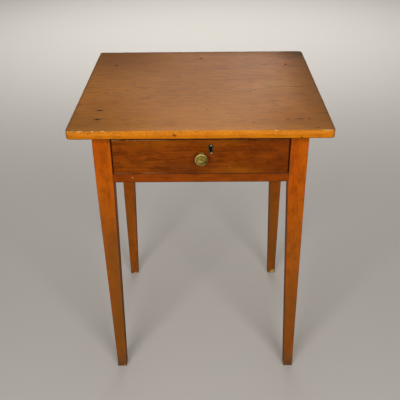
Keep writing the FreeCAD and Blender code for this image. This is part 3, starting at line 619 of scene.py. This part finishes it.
def growth_rings(g, grain, pith, ring):
    """Dark late wood of the growth rings round the pith, from 0 to 1."""
    drift = g.add("TexNoise")
    g.feed(drift.inputs["Vector"], g.vector("MULTIPLY", g.at, along(grain, 7.0, 1.3)))
    g.feed(drift.inputs["Scale"], 1.0)
    g.feed(drift.inputs["Detail"], 2.0)
    sway = g.vector("SUBTRACT", drift.outputs["Color"], (0.5, 0.5, 0.5))
    swayed = g.vector("MULTIPLY_ADD", sway, (0.022, 0.022, 0.022), g.at)
    flat = tuple(0.0 if axis == grain else 1.0 for axis in range(3))
    from_pith = g.vector("LENGTH", g.vector("MULTIPLY", g.vector("SUBTRACT", swayed, pith), flat))
    count = g.math("MULTIPLY_ADD", from_pith, 1 / ring, g.noise(along(grain, 45, 4), 2.0))
    year = g.math("FRACT", count)
    return g.math("MULTIPLY", g.ramp(year, 0.35, 0.92), g.ramp(year, 1.0, 0.95))


def dark_dashes(g, grain):
    """Short dark pores in clusters, from 0 to 1."""
    cluster = g.ramp(g.noise(along(grain, 22, 5), 2.0, shift=33.0), 0.40, 0.60, 0.2, 1.0)
    dash = g.ramp(g.noise(along(grain, 430, 27), 2.0, 0.5, shift=2.0), 0.58, 0.68)
    return g.math("MULTIPLY", dash, cluster)


def bare_wood(g, grain):
    """Colour of wood that never had a finish."""
    streak = g.ramp(g.noise(along(grain, 150, 8), 4.0, 0.6, shift=19.0), 0.35, 0.70)
    cloud = g.noise(along(grain, 18, 6), 3.0, 0.55, shift=25.0)
    return g.mix(g.math("MULTIPLY_ADD", streak, 0.6, g.math("MULTIPLY", cloud, 0.5)), *UNFINISHED)


def rubbed_and_dusty(g, colour, pale):
    """The colour, paler where a piece is worn and where highlights and sheen are painted, and dull where dust
    lies on it and where shade is painted.
    """
    scuff = g.ramp(g.noise((300, 300, 300), 3.0, 0.6, shift=6.0), 0.45, 0.6)
    worn = g.math("MULTIPLY", g.attribute("wear"), g.math("MULTIPLY_ADD", scuff, 0.5, 0.25))
    rubbed_and_highlight = tuple(min(1.0, c * 1.25 + more) for c, more in zip(pale, (0.06, 0.06, 0.03)))
    colour = g.mix(worn, colour, rubbed_and_highlight)
    return g.mix(g.attribute("dust"), colour, DUST_AND_SHADE_TONE)


def stained_and_raw(g, colour, grain):
    """The colour, dark where a piece is stained and where shade is painted, and bare where it has no finish.
    """
    speck = g.ramp(g.noise(along(grain, 420, 60), 3.0, 0.6, shift=12.0), 0.35, 0.65, 0.5, 1.0)
    colour = g.mix(g.math("MULTIPLY", g.attribute("stain"), speck), colour, STAIN_AND_SHADE_TONE)
    return g.mix(g.attribute("raw"), colour, bare_wood(g, grain))


def varnish(g, gloss, fibre):
    """Roughness of the finish, which is duller in its fibres, where it is stained, bare or dusty, and under
    painted shade.
    """
    rough = g.math("MULTIPLY_ADD", g.noise((30, 30, 30), 4.0, 0.65), 0.16, gloss - 0.08)
    rough = g.math("MULTIPLY_ADD", fibre, 0.06, rough)
    lost = g.most([g.attribute(name) for name in ("stain", "raw", "dust")])
    return g.math("MULTIPLY_ADD", lost, 0.35, rough)


def wood(name, grain, pith, palette, gloss=0.4, ring=3.4 * MM, rings=0.5, streaks=0.5, dashes=0.5,
         lines=0.0, bands=0.6, blotches=0.3, shine=0.06, marks=None):
    """Varnished old wood, with a share of each feature of its grain, and the marks of its own piece."""
    g = Graph(name)
    pale, deep, red = palette
    late = growth_rings(g, grain, pith, ring)
    dash = dark_dashes(g, grain)
    streak = g.noise(along(grain, 130, 14), 3.0, 0.6, shift=4.0)
    band = g.noise(along(grain, 17, 3.0), 3.0, 0.55, shift=9.0)
    cloud = g.noise(along(grain, 14, 8), 4.0, 0.6, shift=15.0)
    fibre = g.noise(along(grain, 700, 26), 3.0, 0.6)
    line = g.noise(along(grain, 240, 7), 1.0, 0.5, shift=27.0)
    blotch = g.noise(along(grain, 70, 38), 4.0, 0.65, shift=41.0)

    colour = g.lay(late, rings, pale, deep)
    colour = g.lay(g.ramp(band, 0.38, 0.66), bands, colour, red)
    colour = g.lay(g.ramp(streak, 0.44, 0.72), streaks, colour, deep)
    colour = g.lay(g.ramp(cloud, 0.42, 0.70), bands * 0.6, colour, deep)
    colour = g.lay(g.ramp(fibre, 0.4, 0.75), 0.35, colour, deep)
    colour = g.lay(g.ramp(line, 0.56, 0.64), lines, colour, deep)
    colour = g.lay(g.ramp(blotch, 0.44, 0.66), blotches, colour, tuple(c * 0.6 for c in deep))
    colour = g.lay(dash, dashes, colour, tuple(c * 0.25 for c in deep))
    colour = rubbed_and_dusty(g, colour, pale)
    if marks:
        colour = marks(g, colour)
    colour = stained_and_raw(g, colour, grain)

    g.set(**{"Base Color": colour, "Roughness": varnish(g, gloss, fibre), "Specular IOR Level": shine})
    height = g.math("MULTIPLY_ADD", late, 0.35, g.math("MULTIPLY", fibre, 0.5))
    height = g.math("MULTIPLY_ADD", dash, -0.6, height)
    g.bump(height, 0.25, 0.25 * MM)
    return g.material


# Metal


def metal(name, palette, rough, marks=None):
    """Old metal: bright where rubbed and where highlights are painted, dull over most of it, and dark in
    spots, corners and painted shade.
    """
    g = Graph(name)
    bright, dull, dark = palette
    cloud = g.noise((160, 160, 160), 4.0, 0.65)
    spot = g.ramp(g.noise((520, 520, 520), 3.0, 0.6, shift=8.0), 0.55, 0.7)
    colour = g.mix(g.ramp(cloud, 0.35, 0.65), dull, bright)
    colour = g.lay(spot, 0.7, colour, dark)
    colour = g.mix(g.attribute("wear"), colour, tuple(min(1.0, c * 1.6 + 0.06) for c in bright))
    colour = g.mix(g.attribute("stain"), colour, dark)
    if marks:
        colour = marks(g, colour)
    roughness = g.math("MULTIPLY_ADD", g.noise((240, 240, 240), 3.0, 0.6, shift=3.0), 0.3, rough - 0.15)
    roughness = g.math("MULTIPLY_ADD", spot, 0.2, roughness)
    g.set(**{"Base Color": colour, "Metallic": 1.0, "Roughness": roughness})
    g.bump(g.math("MULTIPLY_ADD", spot, -0.5, cloud), 0.2, 0.2 * MM)
    return g.material


def make_materials():
    return {
        "top": wood("top_pine", X, TOP_PITH, TOP_TONES, 0.38, rings=0.2, streaks=0.3, dashes=0.7,
                    lines=0.2, bands=0.4, blotches=0.2, shine=0.35, marks=top_marks),
        "edge": wood("top_edge_pine", X, TOP_PITH, EDGE_TONES, rings=0.25, streaks=0.3, dashes=0.35,
                     bands=0.25, marks=edge_marks),
        "leg": wood("leg_pine", Z, LEG_PITH, LEG_TONES, rings=0.35, streaks=0.3, dashes=0.2,
                    blotches=0.45, marks=leg_marks),
        "frame_x": wood("frame_pine_across", X, FRAME_PITH, FRAME_TONES, dashes=0.3, marks=rail_marks),
        "frame_y": wood("frame_pine_deep", Y, SIDE_PITH, FRAME_TONES, dashes=0.3),
        "shaded": wood("shaded_pine", X, FRAME_PITH, SHADED_TONES),
        "drawer": wood("drawer_pine", X, DRAWER_PITH, DRAWER_TONES, 0.38, 4.5 * MM, rings=0.3,
                       streaks=0.45, lines=0.4, bands=0.75, blotches=0.42, marks=drawer_marks),
        "raw_x": wood("raw_pine_across", X, RAW_PITH, RAW_TONES, 0.75, dashes=0.2, blotches=0.15,
                      marks=end_grain),
        "raw_y": wood("raw_pine_deep", Y, RAW_SIDE_PITH, RAW_TONES, 0.75, dashes=0.2, blotches=0.15),
        "peg": wood("peg_wood", X, PEG_PITH, PEG_TONES, 0.5, 1.2 * MM),
        "brass": metal("old_brass", BRASS_TONES, 0.45),
        "dull_brass": metal("dull_brass", DULL_BRASS_TONES, 0.5),
        "liner": metal("dirty_brass", LINER_TONES, 0.6, liner_marks),
        "steel": metal("steel_painted_glint", GLINT_STEEL_TONES, 0.35),
        "iron": metal("old_iron", IRON_TONES, 0.6),
        "rust": metal("rusty_iron", RUST_TONES, 0.75),
    }


# Single marks


def blend(g, colour, tone, strength, spots, **shape):
    """The colour with a tone laid over it in some spots, each a place and its half sizes."""
    patch = g.most([g.spot(at, half, **shape) for at, half in spots])
    return g.lay(patch, strength, colour, tone)


def upper_spots(marks):
    """Places and half sizes of marks on the upper face of the top."""
    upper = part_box("tabletop")[1].z
    return [((x * MM, y * MM, upper), (wide * MM, deep * MM, MARK_DEPTH)) for x, y, wide, deep in marks]


def front_spots(node, marks):
    """Places and half sizes of marks on the front face of a node."""
    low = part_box(node)[0]
    spots = []
    for x, rise, wide, tall in marks:
        spots.append(((x * MM, low.y, low.z + rise * MM), (wide * MM, MARK_DEPTH, tall * MM)))
    return spots


def top_marks(g, colour):
    """Checks, dents and flecks on the top, and the chips and painted highlights of its front arris."""
    colour = blend(g, colour, CHECK_TONE, 0.65, upper_spots(TOP_CHECKS))
    colour = blend(g, colour, DENT_TONE, 0.85, upper_spots(TOP_DENTS))
    colour = blend(g, colour, FLECK_TONE, 0.8, upper_spots(TOP_FLECKS))
    return arris_chips_and_highlights(g, colour)


def arris_chips_and_highlights(g, colour):
    """Pale chips and painted highlights along the upper front edge of the top."""
    low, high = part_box("tabletop")
    at = (low.y + ARRIS_INSET, high.z - ARRIS_INSET)
    chips = [((x * MM, *at), (half * MM, ARRIS_THICK, ARRIS_THICK)) for x, half in ARRIS_CHIPS_AND_HIGHLIGHTS]
    return blend(g, colour, ARRIS_TONE, 0.6, chips)


def edge_marks(g, colour):
    """Darker ends, a knot, dents and chips on the front edge of the top, some chips with painted highlights.
    """
    low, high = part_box("tabletop")
    at = (low.y + EDGE_END_DARK_INSET, (low.z + high.z) / 2)
    ends = [((side, *at), EDGE_END_DARK) for side in (low.x, high.x)]
    colour = blend(g, colour, EDGE_END_TONE, 0.7, ends)
    colour = blend(g, colour, KNOT_TONE, 0.8, front_spots("tabletop", EDGE_KNOTS))
    colour = blend(g, colour, EDGE_DENT_TONE, 0.85, front_spots("tabletop", EDGE_DENTS))
    colour = blend(g, colour, FLECK_TONE, 0.8, front_spots("tabletop", EDGE_FLECKS))
    return arris_chips_and_highlights(g, colour)


def leg_marks(g, colour):
    """Dust low on the front legs, and bare wood where three of the feet are chipped or rubbed."""
    place = g.split()
    low_down = g.ramp(place[Z], FOOT_DUST_HEIGHT, 0.0)
    in_front = g.math("LESS_THAN", place[Y], 0.0)
    colour = g.lay(low_down, in_front, colour, FOOT_DUST)
    chips = []
    for node, (across, rise, *half) in FOOT_CHIPS.items():
        low, high = leg_shape(node)[1]
        at = (low[X] + across * (high[X] - low[X]), low[Y], rise * MM)
        chips.append((at, tuple(size * MM for size in half)))
    return blend(g, colour, BARE, 0.85, chips)


def rail_marks(g, colour):
    """A darker stretch and a chip in the finish of the lower rail."""
    colour = blend(g, colour, RAIL_SHADE_TONE, 0.25, front_spots("lower_rail", RAIL_SHADES), soft=1.3)
    return blend(g, colour, RAIL_CHIP_TONE, 0.8, front_spots("lower_rail", RAIL_CHIPS))


def liner_marks(g, colour):
    """A pale rub at the foot of the keyhole's liner."""
    low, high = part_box("keyhole_liner")
    right, rise = LINER_RUB_AT
    foot = ((low.x + high.x) / 2 + right, low.y, low.z + rise)
    return blend(g, colour, LINER_RUB_TONE, 0.85, [(foot, LINER_RUB)])


def end_grain(g, colour, node="drawer_back"):
    """Darker end grain at the two ends of a board, where its dovetails show."""
    away = g.math("SUBTRACT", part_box(node)[1].x, g.math("ABSOLUTE", g.split()[X]))
    speckle = g.ramp(g.noise((900, 900, 900), 2.0, 0.5, shift=23.0), 0.3, 0.7, 0.55, 0.85)
    return g.lay(g.ramp(away, *END_GRAIN_FADE), speckle, colour, END_GRAIN)


def drawer_marks(g, colour):
    """The drawer's front: worn rims with painted highlights, marks and painted light and shade on its face,
    and no finish behind and at its ends.
    """
    rub = g.noise((60, 60, 60), 3.0, 0.6, shift=18.0)
    colour = drawer_rims(g, colour, rub)
    colour = drawer_face(g, colour)
    colour = drawer_behind(g, colour, rub)
    return end_grain(g, colour, "drawer_front")


def drawer_rims(g, colour, rub):
    """Pale worn rims with a painted highlight above and below, most of all at the left, and painted shade at
    the right end beside its gap.
    """
    low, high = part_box("drawer_front")
    place = g.split()
    from_foot = g.math("SUBTRACT", place[Z], low.z)
    from_head = g.math("SUBTRACT", high.z, place[Z])
    inset = g.math("MINIMUM", from_foot, from_head)
    rim = g.math("MULTIPLY", g.ramp(inset, *DRAWER_RIM_WEAR_AND_HIGHLIGHT_FADE), g.ramp(rub, 0.3, 0.6))
    rim = g.math("MULTIPLY", rim, g.ramp(place[X], *RIM_WEAR_AND_HIGHLIGHT_SPAN, 0.15, 1.0))
    colour = g.lay(rim, 0.9, colour, DRAWER_RIM_WEAR_AND_HIGHLIGHT_TONE)
    from_end = g.math("SUBTRACT", high.x, place[X])
    return g.lay(g.ramp(from_end, *DRAWER_END_SHADE_FADE), 0.4, colour, DRAWER_END_SHADE_TONE)


def drawer_face(g, colour):
    """Scuffs, painted light above and a lighter patch low at the right, darker patches, a painted shadow of
    the knob, and a scratch.
    """
    scuffs = front_spots("drawer_front", DRAWER_SCUFFS)
    colour = blend(g, colour, DRAWER_SCUFF_TONE, 0.22, scuffs, soft=1.4, ragged=0.8, turn=-30)
    lights = front_spots("drawer_front", DRAWER_PAINTED_LIGHTS)
    colour = blend(g, colour, DRAWER_PAINTED_LIGHT_TONE, 0.45, lights, soft=1.3)
    shades = front_spots("drawer_front", DRAWER_SHADES)
    colour = blend(g, colour, DRAWER_SHADE_TONE, 0.50, shades, soft=1.0, ragged=0.25)
    low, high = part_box("drawer_knob")
    knob = ((low.x + high.x) / 2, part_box("drawer_front")[0].y, (low.z + high.z) / 2)
    # Painted shadow of the knob on the face round it
    colour = blend(g, colour, DRAWER_KNOB_SHADOW_TONE, 0.6, [(knob, KNOB_SHADOW)], soft=1.2)
    scratches = front_spots("drawer_front", DRAWER_SCRATCHES)
    return blend(g, colour, DRAWER_SCRATCH_TONE, 0.6, scratches, turn=32)


def drawer_behind(g, colour, rub):
    """Bare wood behind the face, and grime with painted shade on the upper edge, which darkens the gap above
    the drawer.
    """
    low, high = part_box("drawer_front")
    place = g.split()
    deep = g.math("SUBTRACT", place[Y], low.y)
    colour = g.mix(g.ramp(deep, *FINISH_DEPTH), colour, bare_wood(g, X))
    above = g.ramp(g.math("SUBTRACT", high.z, place[Z]), *UPPER_EDGE_DEPTH)
    above = g.math("MULTIPLY", above, g.ramp(deep, *UPPER_GRIME_AND_SHADE_INSET))
    return g.lay(above, g.ramp(rub, 0.3, 0.7, 0.95, 0.8), colour, GRIME_AND_SHADE)


# Worn top


def nail_places():
    """Middle of each nail head in the top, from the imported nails."""
    heads = [v.co for v in nodes["top_nails"].data.vertices]
    face = max(v.z for v in heads)
    corners = [v for v in heads if face - v.z < 0.1 * MM]
    places = []
    for corner in corners:
        near = [v for v in corners if max(abs(v.x - corner.x), abs(v.y - corner.y)) < NAIL_HEAD]
        middle = (sum(v.x for v in near) / len(near), sum(v.y for v in near) / len(near))
        if all(math.dist(middle, place) > 1 * MM for place in places):
            places.append(middle)
    return places


def sink_nails(points, places, upper):
    """Dips the upper face at each nail but the covered one at the right front, and gives the stain."""
    stain = np.zeros(len(points))
    for x, y in places:
        if x > 0 and y < 0:
            continue
        offset = points[:, :2] - (x, y)
        away = (np.abs(offset) ** 3).sum(axis=1) ** (1 / 3)
        points[:, Z] -= NAIL_SINK * smoothstep(NAIL_REACH + NAIL_RAMP, NAIL_REACH, away) * upper
        stretch, depth = FRONT_NAIL_STAIN if y < 0 else REAR_NAIL_STAIN
        smear = np.hypot(offset[:, X] / stretch, offset[:, Y])
        stain = np.maximum(stain, upper * depth * smoothstep(*NAIL_STAIN_FADE, smear))
    return stain


def top_stain(points, low, high, from_edge):
    """Stain of the top's right rear corner, darker sides and back, and painted shade on the border of its
    underside.
    """
    reach, depth = STAINED_CORNER
    away = np.hypot(points[:, X] - high.x, points[:, Y] - high.y)
    corner = depth * smoothstep(reach, 0.0, away)
    inset = np.minimum(high.x - np.abs(points[:, X]), high.y - points[:, Y])
    rim = TOP_RIM_DARKENING * smoothstep(*TOP_RIM_FADE, inset)
    under = smoothstep(*UNDER_SHADE_FADE, points[:, Z] - low.z)
    border = UNDER_BORDER_SHADE * under * smoothstep(*UNDER_BORDER_FADE, from_edge)
    return np.maximum(np.maximum(corner, rim), border)


def top_dust(points, high):
    """Dull finish and painted shade at the top's corners and sides, on its upper face only."""
    dust = np.zeros(len(points))
    for side, end, reach, depth in DULL_SHADED_CORNERS:
        away = np.hypot(points[:, X] - side * high.x, points[:, Y] - end * high.y)
        dust = np.maximum(dust, depth * smoothstep(reach, 0.0, away))
    for axis, reach, depth in DULL_SHADED_SIDES:
        dust = np.maximum(dust, depth * smoothstep(reach, 0.0, high[axis] - points[:, axis]))
    return dust * smoothstep(*UPPER_FADE, high.z - points[:, Z])


def top_wear(points, low, upper, wear):
    """Top's wear: little at the edges, more at the front one with a painted highlight, a rubbed front and
    painted sheen.
    """
    from_front = points[:, Y] - low.y
    wear = wear * (TOP_WEAR + FRONT_ARRIS_WEAR_AND_HIGHLIGHT * smoothstep(*FRONT_EDGE_FADE, from_front) * upper)
    for x, y, half_x, half_y, depth in PAINTED_SHEEN_PATCHES:
        away = np.hypot((points[:, X] - x) / half_x, (points[:, Y] - y) / half_y)
        wear = np.maximum(wear, depth * upper * smoothstep(1.0, 0.1, away))
    reach, depth = RUBBED_FRONT
    return np.maximum(wear, depth * upper * smoothstep(reach, reach / 3, from_front))


def round_corners(points, low, high):
    """Bends the corners of a board, seen from above, to their round."""
    for (side, end), radius in CORNER_ROUNDS.items():
        corner = np.array([high.x if side > 0 else low.x, high.y if end > 0 else low.y])
        centre = corner - np.array([side, end]) * radius
        out = (points[:, :2] - centre) * (side, end)
        inside = (out > 0).all(axis=1)
        share = out[inside].max(axis=1) / np.hypot(*out[inside].T)
        points[inside, :2] = centre + out[inside] * share[:, None] * (side, end)


def worn_top(paint, edge_paint):
    low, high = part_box("tabletop")
    places = nail_places()
    rows = (sorted({x for x, y in places}), sorted({y for x, y in places}), ())
    reach = NAIL_REACH + NAIL_RAMP
    points, quads, wear = worn_block(low, high, TOP_ROUND, TOP_STEPS, TOP_NICKS, rows, reach)
    upper = points[:, Z] > (low.z + high.z) / 2
    nail_stain = sink_nails(points, places, upper)
    from_edge = edge_distance(points, low, high)
    stain = np.maximum(nail_stain, top_stain(points, low, high, from_edge))
    dust = top_dust(points, high)
    raw = smoothstep(*UNDER_RAW_FADE, points[:, Z] - low.z) * smoothstep(*RAW_INSET_FADE, from_edge)
    round_corners(points, low, high)
    wear = top_wear(points, low, upper, wear)
    piece = add_mesh("worn_top", points, quads, wear=wear, stain=stain, raw=raw, dust=dust)
    piece.data.materials.append(paint)
    piece.data.materials.append(edge_paint)
    for face in piece.data.polygons:
        face.material_index = int(abs(face.normal.z) < 0.6)
    return dress(piece, "table", "tabletop")


# Worn legs


def leg_shape(node):
    """Two corners of a packed leg's square, two of its foot, and the height where its taper begins."""
    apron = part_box("apron_left")[0].z
    corners = np.array([v.co for v in nodes[node].data.vertices])
    height = corners[:, Z]
    taper = height[height < apron - MM].max()
    square = corners[height > taper - MM, :2]
    foot = corners[height < 2 * MM, :2]
    return (square.min(axis=0), square.max(axis=0)), (foot.min(axis=0), foot.max(axis=0)), taper


def leg_dust(node, points, taper, rear):
    """Patchy dullness of a leg, which grows towards the foot, and painted shade that keeps the rear legs
    darker.
    """
    depth, dull_height = LEG_DUST[node]
    patchy = np.clip(0.8 + 0.4 * field(points, (30, 30, 5), 31.0), 0, 1)
    dust = depth * smoothstep(taper + LEG_DUST_RISE, dull_height, points[:, Z]) * patchy
    return np.maximum(dust, REAR_LEG_SHADE) if rear else dust


def leg_dirt_and_shade(points, inner_face, left):
    """Dirt of a leg at its foot, and painted shade on its inner face, which is lighter beside the drawer at
    the left.
    """
    height = points[:, Z]
    patchy = np.clip(0.6 + 0.9 * field(points, 60, 31.0), 0, 1)
    foot = FOOT_DIRT * smoothstep(FOOT_DIRT_HEIGHT, 0.0, height) * patchy
    beside_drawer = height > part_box("drawer_front")[0].z
    inner = np.where(beside_drawer & left, DRAWER_SIDE_SHADE, LEG_INNER_SHADE) * inner_face
    return np.maximum(foot, inner)


def worn_leg(node, paint):
    (low, high), (foot_low, foot_high), taper = leg_shape(node)
    bottom, top = (corner.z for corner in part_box(node))
    points, quads, wear = worn_block((*low, bottom), (*high, top), LEG_ROUND, LEG_STEPS)
    left, rear = low[X] < 0, low[Y] > 0
    inner = high[X] if left else low[X]
    inner_face = smoothstep(*LEG_INNER_FADE, np.abs(points[:, X] - inner))
    at_foot = foot_low + (points[:, :2] - low) / (high - low) * (foot_high - foot_low)
    share = np.clip(points[:, Z] / taper, 0, 1)[:, None]
    points[:, :2] = at_foot + (points[:, :2] - at_foot) * share
    dust = leg_dust(node, points, taper, rear)
    dirt_and_shade = leg_dirt_and_shade(points, inner_face, left)
    name = node.replace("leg", "worn_leg")
    piece = add_mesh(name, points, quads, wear=wear * LEG_WEAR, stain=dirt_and_shade, dust=dust)
    piece.data.materials.append(paint)
    return dress(piece, "table", node)


# Worn aprons and rail


def worn_board(node, low, high, paint):
    """A rail or an apron between the shoulders of its tenons."""
    steps = tuple(min(BOARD_STEP, (end - start) / 3) for start, end in zip(low, high))
    points, quads, wear = worn_block(low, high, BOARD_ROUND, steps, BOARD_NICKS)
    inward = (np.array(low)[:2] + np.array(high)[:2]) / -2
    axis = int(np.argmax(np.abs(inward)))
    inner = low[axis] if inward[axis] < 0 else high[axis]
    raw = smoothstep(*BOARD_RAW_FADE, np.abs(points[:, axis] - inner))
    # Painted shade along the boards' lower edges and thin upper edges, where arrises and gaps are shaded
    rise = np.minimum(points[:, Z] - low[Z], (high[Z] - points[:, Z]) * 2)
    dirt_and_shade = BOARD_EDGE_SHADE * smoothstep(*BOARD_EDGE_SHADE_FADE, rise)
    piece = add_mesh("worn_" + node, points, quads, wear=wear * BOARD_WEAR, raw=raw, stain=dirt_and_shade)
    piece.data.materials.append(paint)
    return dress(piece, "table", node)


def worn_boards(made):
    """The aprons and the lower rail."""
    leg_low, leg_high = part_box("leg_front_right")
    inner_x, inner_y = leg_low.x, -leg_high.y
    for node in ("apron_left", "apron_right"):
        low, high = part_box(node)
        worn_board(node, (low.x, -inner_y, low.z), (high.x, inner_y, high.z), made["frame_y"])
    for node in ("apron_rear", "lower_rail"):
        low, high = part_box(node)
        worn_board(node, (-inner_x, low.y, low.z), (inner_x, high.y, high.z), made["frame_x"])


def dress(piece, body, node):
    """Sets a piece on its body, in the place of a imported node."""
    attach(piece, body)
    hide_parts(node)
    return piece


# Turned knob


def knob_profile(rim, reach):
    """Radius and reach of the knob's outline, from the drawer to the middle of its face."""
    back = reach - DISC_THICK
    cove = rim - KNOB_NECK - DISC_EDGE
    floor = reach - FACE_SINK
    fillet_at = (rim - 2 * BEAD - FACE_FILLET, floor + FACE_FILLET)
    profile = [(0, 0)]
    edge_at = (KNOB_FOOT - KNOB_FOOT_EDGE, KNOB_FOOT_LIFT + KNOB_FOOT_EDGE)
    profile += arc(edge_at, KNOB_FOOT_EDGE, -90, 0, 4)
    round_at = (KNOB_FOOT - KNOB_FOOT_ROUND, KNOB_FOOT_THICK - KNOB_FOOT_ROUND)
    profile += arc(round_at, KNOB_FOOT_ROUND, 0, 90, 6)
    neck_at = (KNOB_NECK + NECK_FILLET, KNOB_FOOT_THICK + NECK_FILLET)
    profile += arc(neck_at, NECK_FILLET, 270, 180, 5)
    profile += arc((rim - DISC_EDGE, back - cove), cove, 180, 90, 14)
    profile += arc((rim - DISC_EDGE, back + DISC_EDGE), DISC_EDGE, -90, 0, 4)
    profile += [(rim, back + DISC_SIDE)]
    profile += arc((rim - BEAD, reach - BEAD), BEAD, 0, 180, 12)
    profile += arc(fillet_at, FACE_FILLET, 0, -90, 5)
    profile += [(radius, floor + rise) for radius, rise in FACE_SWELL]
    profile += arc((DIMPLE_RING, floor), DIMPLE_EDGE, 70, 150, 4)
    profile += [(radius, floor + rise) for radius, rise in DIMPLE]
    return profile


def knob_finish(points, axis, rim, reach):
    """Wear, grime and painted light of the knob: painted highlights on the bead and the face, grime behind
    and in the dimple, and painted shade below.
    """
    right, up = points[:, X] - axis.x, points[:, Z] - axis.z
    out = np.hypot(right, up)
    reached = axis.y - points[:, Y]
    back = reach - DISC_THICK
    disc = reached > back
    lean = (up - KNOB_LEAN * right) / rim

    # Painted highlights: the bead's upper left, a spot on the face and the foot's upper side
    bead = smoothstep(rim - BEAD_INSET, rim - BEAD, out) * smoothstep(back, reach - BEAD, reached)
    rub_right, rub_up = KNOB_HIGHLIGHT_AT
    rubbed_and_highlight = smoothstep(*KNOB_HIGHLIGHT_FADE, np.hypot(right - rub_right, up - rub_up)) * disc
    foot = smoothstep(*KNOB_FOOT_FADE, reached) * smoothstep(*KNOB_FOOT_RISE, up)
    wear = np.maximum(bead * smoothstep(-0.3, 0.8, lean), 0.6 * rubbed_and_highlight)
    wear = np.maximum(wear, 0.2 * foot)

    behind = 0.8 * smoothstep(*KNOB_BACK_FADE, reached) * (1 - 0.4 * foot)
    middle = 0.6 * smoothstep(*KNOB_MIDDLE_FADE, out)
    groove = 0.3 * np.exp(-(((rim - GROOVE_INSET - out) / GROOVE_WIDTH) ** 2)) * disc
    # Painted shade on the knob's lower right side
    below = 0.5 * smoothstep(0.1, -0.9, lean) * (out > KNOB_SHADE_FROM)
    grime_and_shade = np.clip(behind + middle + groove + below, 0, 1)
    dimple = smoothstep(*DIMPLE_FADE, out) * disc
    return wear * (1 - dimple), np.maximum(grime_and_shade, dimple)


def turned_knob(paint):
    low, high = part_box("drawer_knob")
    axis = Vector(((low.x + high.x) / 2, high.y, (low.z + high.z) / 2))
    rim, reach = (high.x - low.x) / 2, high.y - low.y
    points, faces = lathe(knob_profile(rim, reach), axis)
    points = np.array(points)
    wear, grime_and_shade = knob_finish(points, axis, rim, reach)
    piece = add_mesh("turned_knob", points, faces, True, wear=wear, stain=grime_and_shade)
    weld(piece)
    piece.data.materials.append(paint)
    return dress(piece, "drawer", "drawer_knob")


def weld(piece):
    """Joins the points that meet on the axis of a turned piece."""
    work = bmesh.new()
    work.from_mesh(piece.data)
    bmesh.ops.remove_doubles(work, verts=work.verts, dist=1e-6)
    bmesh.ops.recalc_face_normals(work, faces=work.faces)
    work.to_mesh(piece.data)
    work.free()


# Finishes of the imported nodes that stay


def paint_nodes(made):
    sides = ("left", "right")
    strips = ("side", "runner", "guide", "kicker")
    finishes = {
        "drawer": ["drawer_front"],
        # The upper rail takes the shaded palette, which is painted shade
        "shaded": ["upper_rail"],
        "raw_x": ["drawer_back", "drawer_bottom", "drawer_stops"],
        "raw_y": [f"drawer_{strip}_{side}" for strip in strips for side in sides],
        "peg": ["tenon_pegs"],
        "dull_brass": ["lock_plate", "lock_case"],
        "liner": ["keyhole_liner"],
        "rust": ["top_nails", "strip_nails", "drawer_bottom_nails"],
        "steel": ["lock_pin"],
        "iron": ["knob_bolt", "knob_nut", "lock_spring", "lock_screws", "lock_bolt"],
    }
    for finish, names in finishes.items():
        for name in names:
            for place in nodes[name].material_slots:
                place.material = made[finish]


def main():
    add_camera()
    add_lamps()
    add_sky()
    add_floor()
    made = make_materials()
    paint_nodes(made)
    worn_top(made["top"], made["edge"])
    for end in ("front", "rear"):
        for side in ("left", "right"):
            worn_leg(f"leg_{end}_{side}", made["leg"])
    worn_boards(made)
    turned_knob(made["brass"])


main()
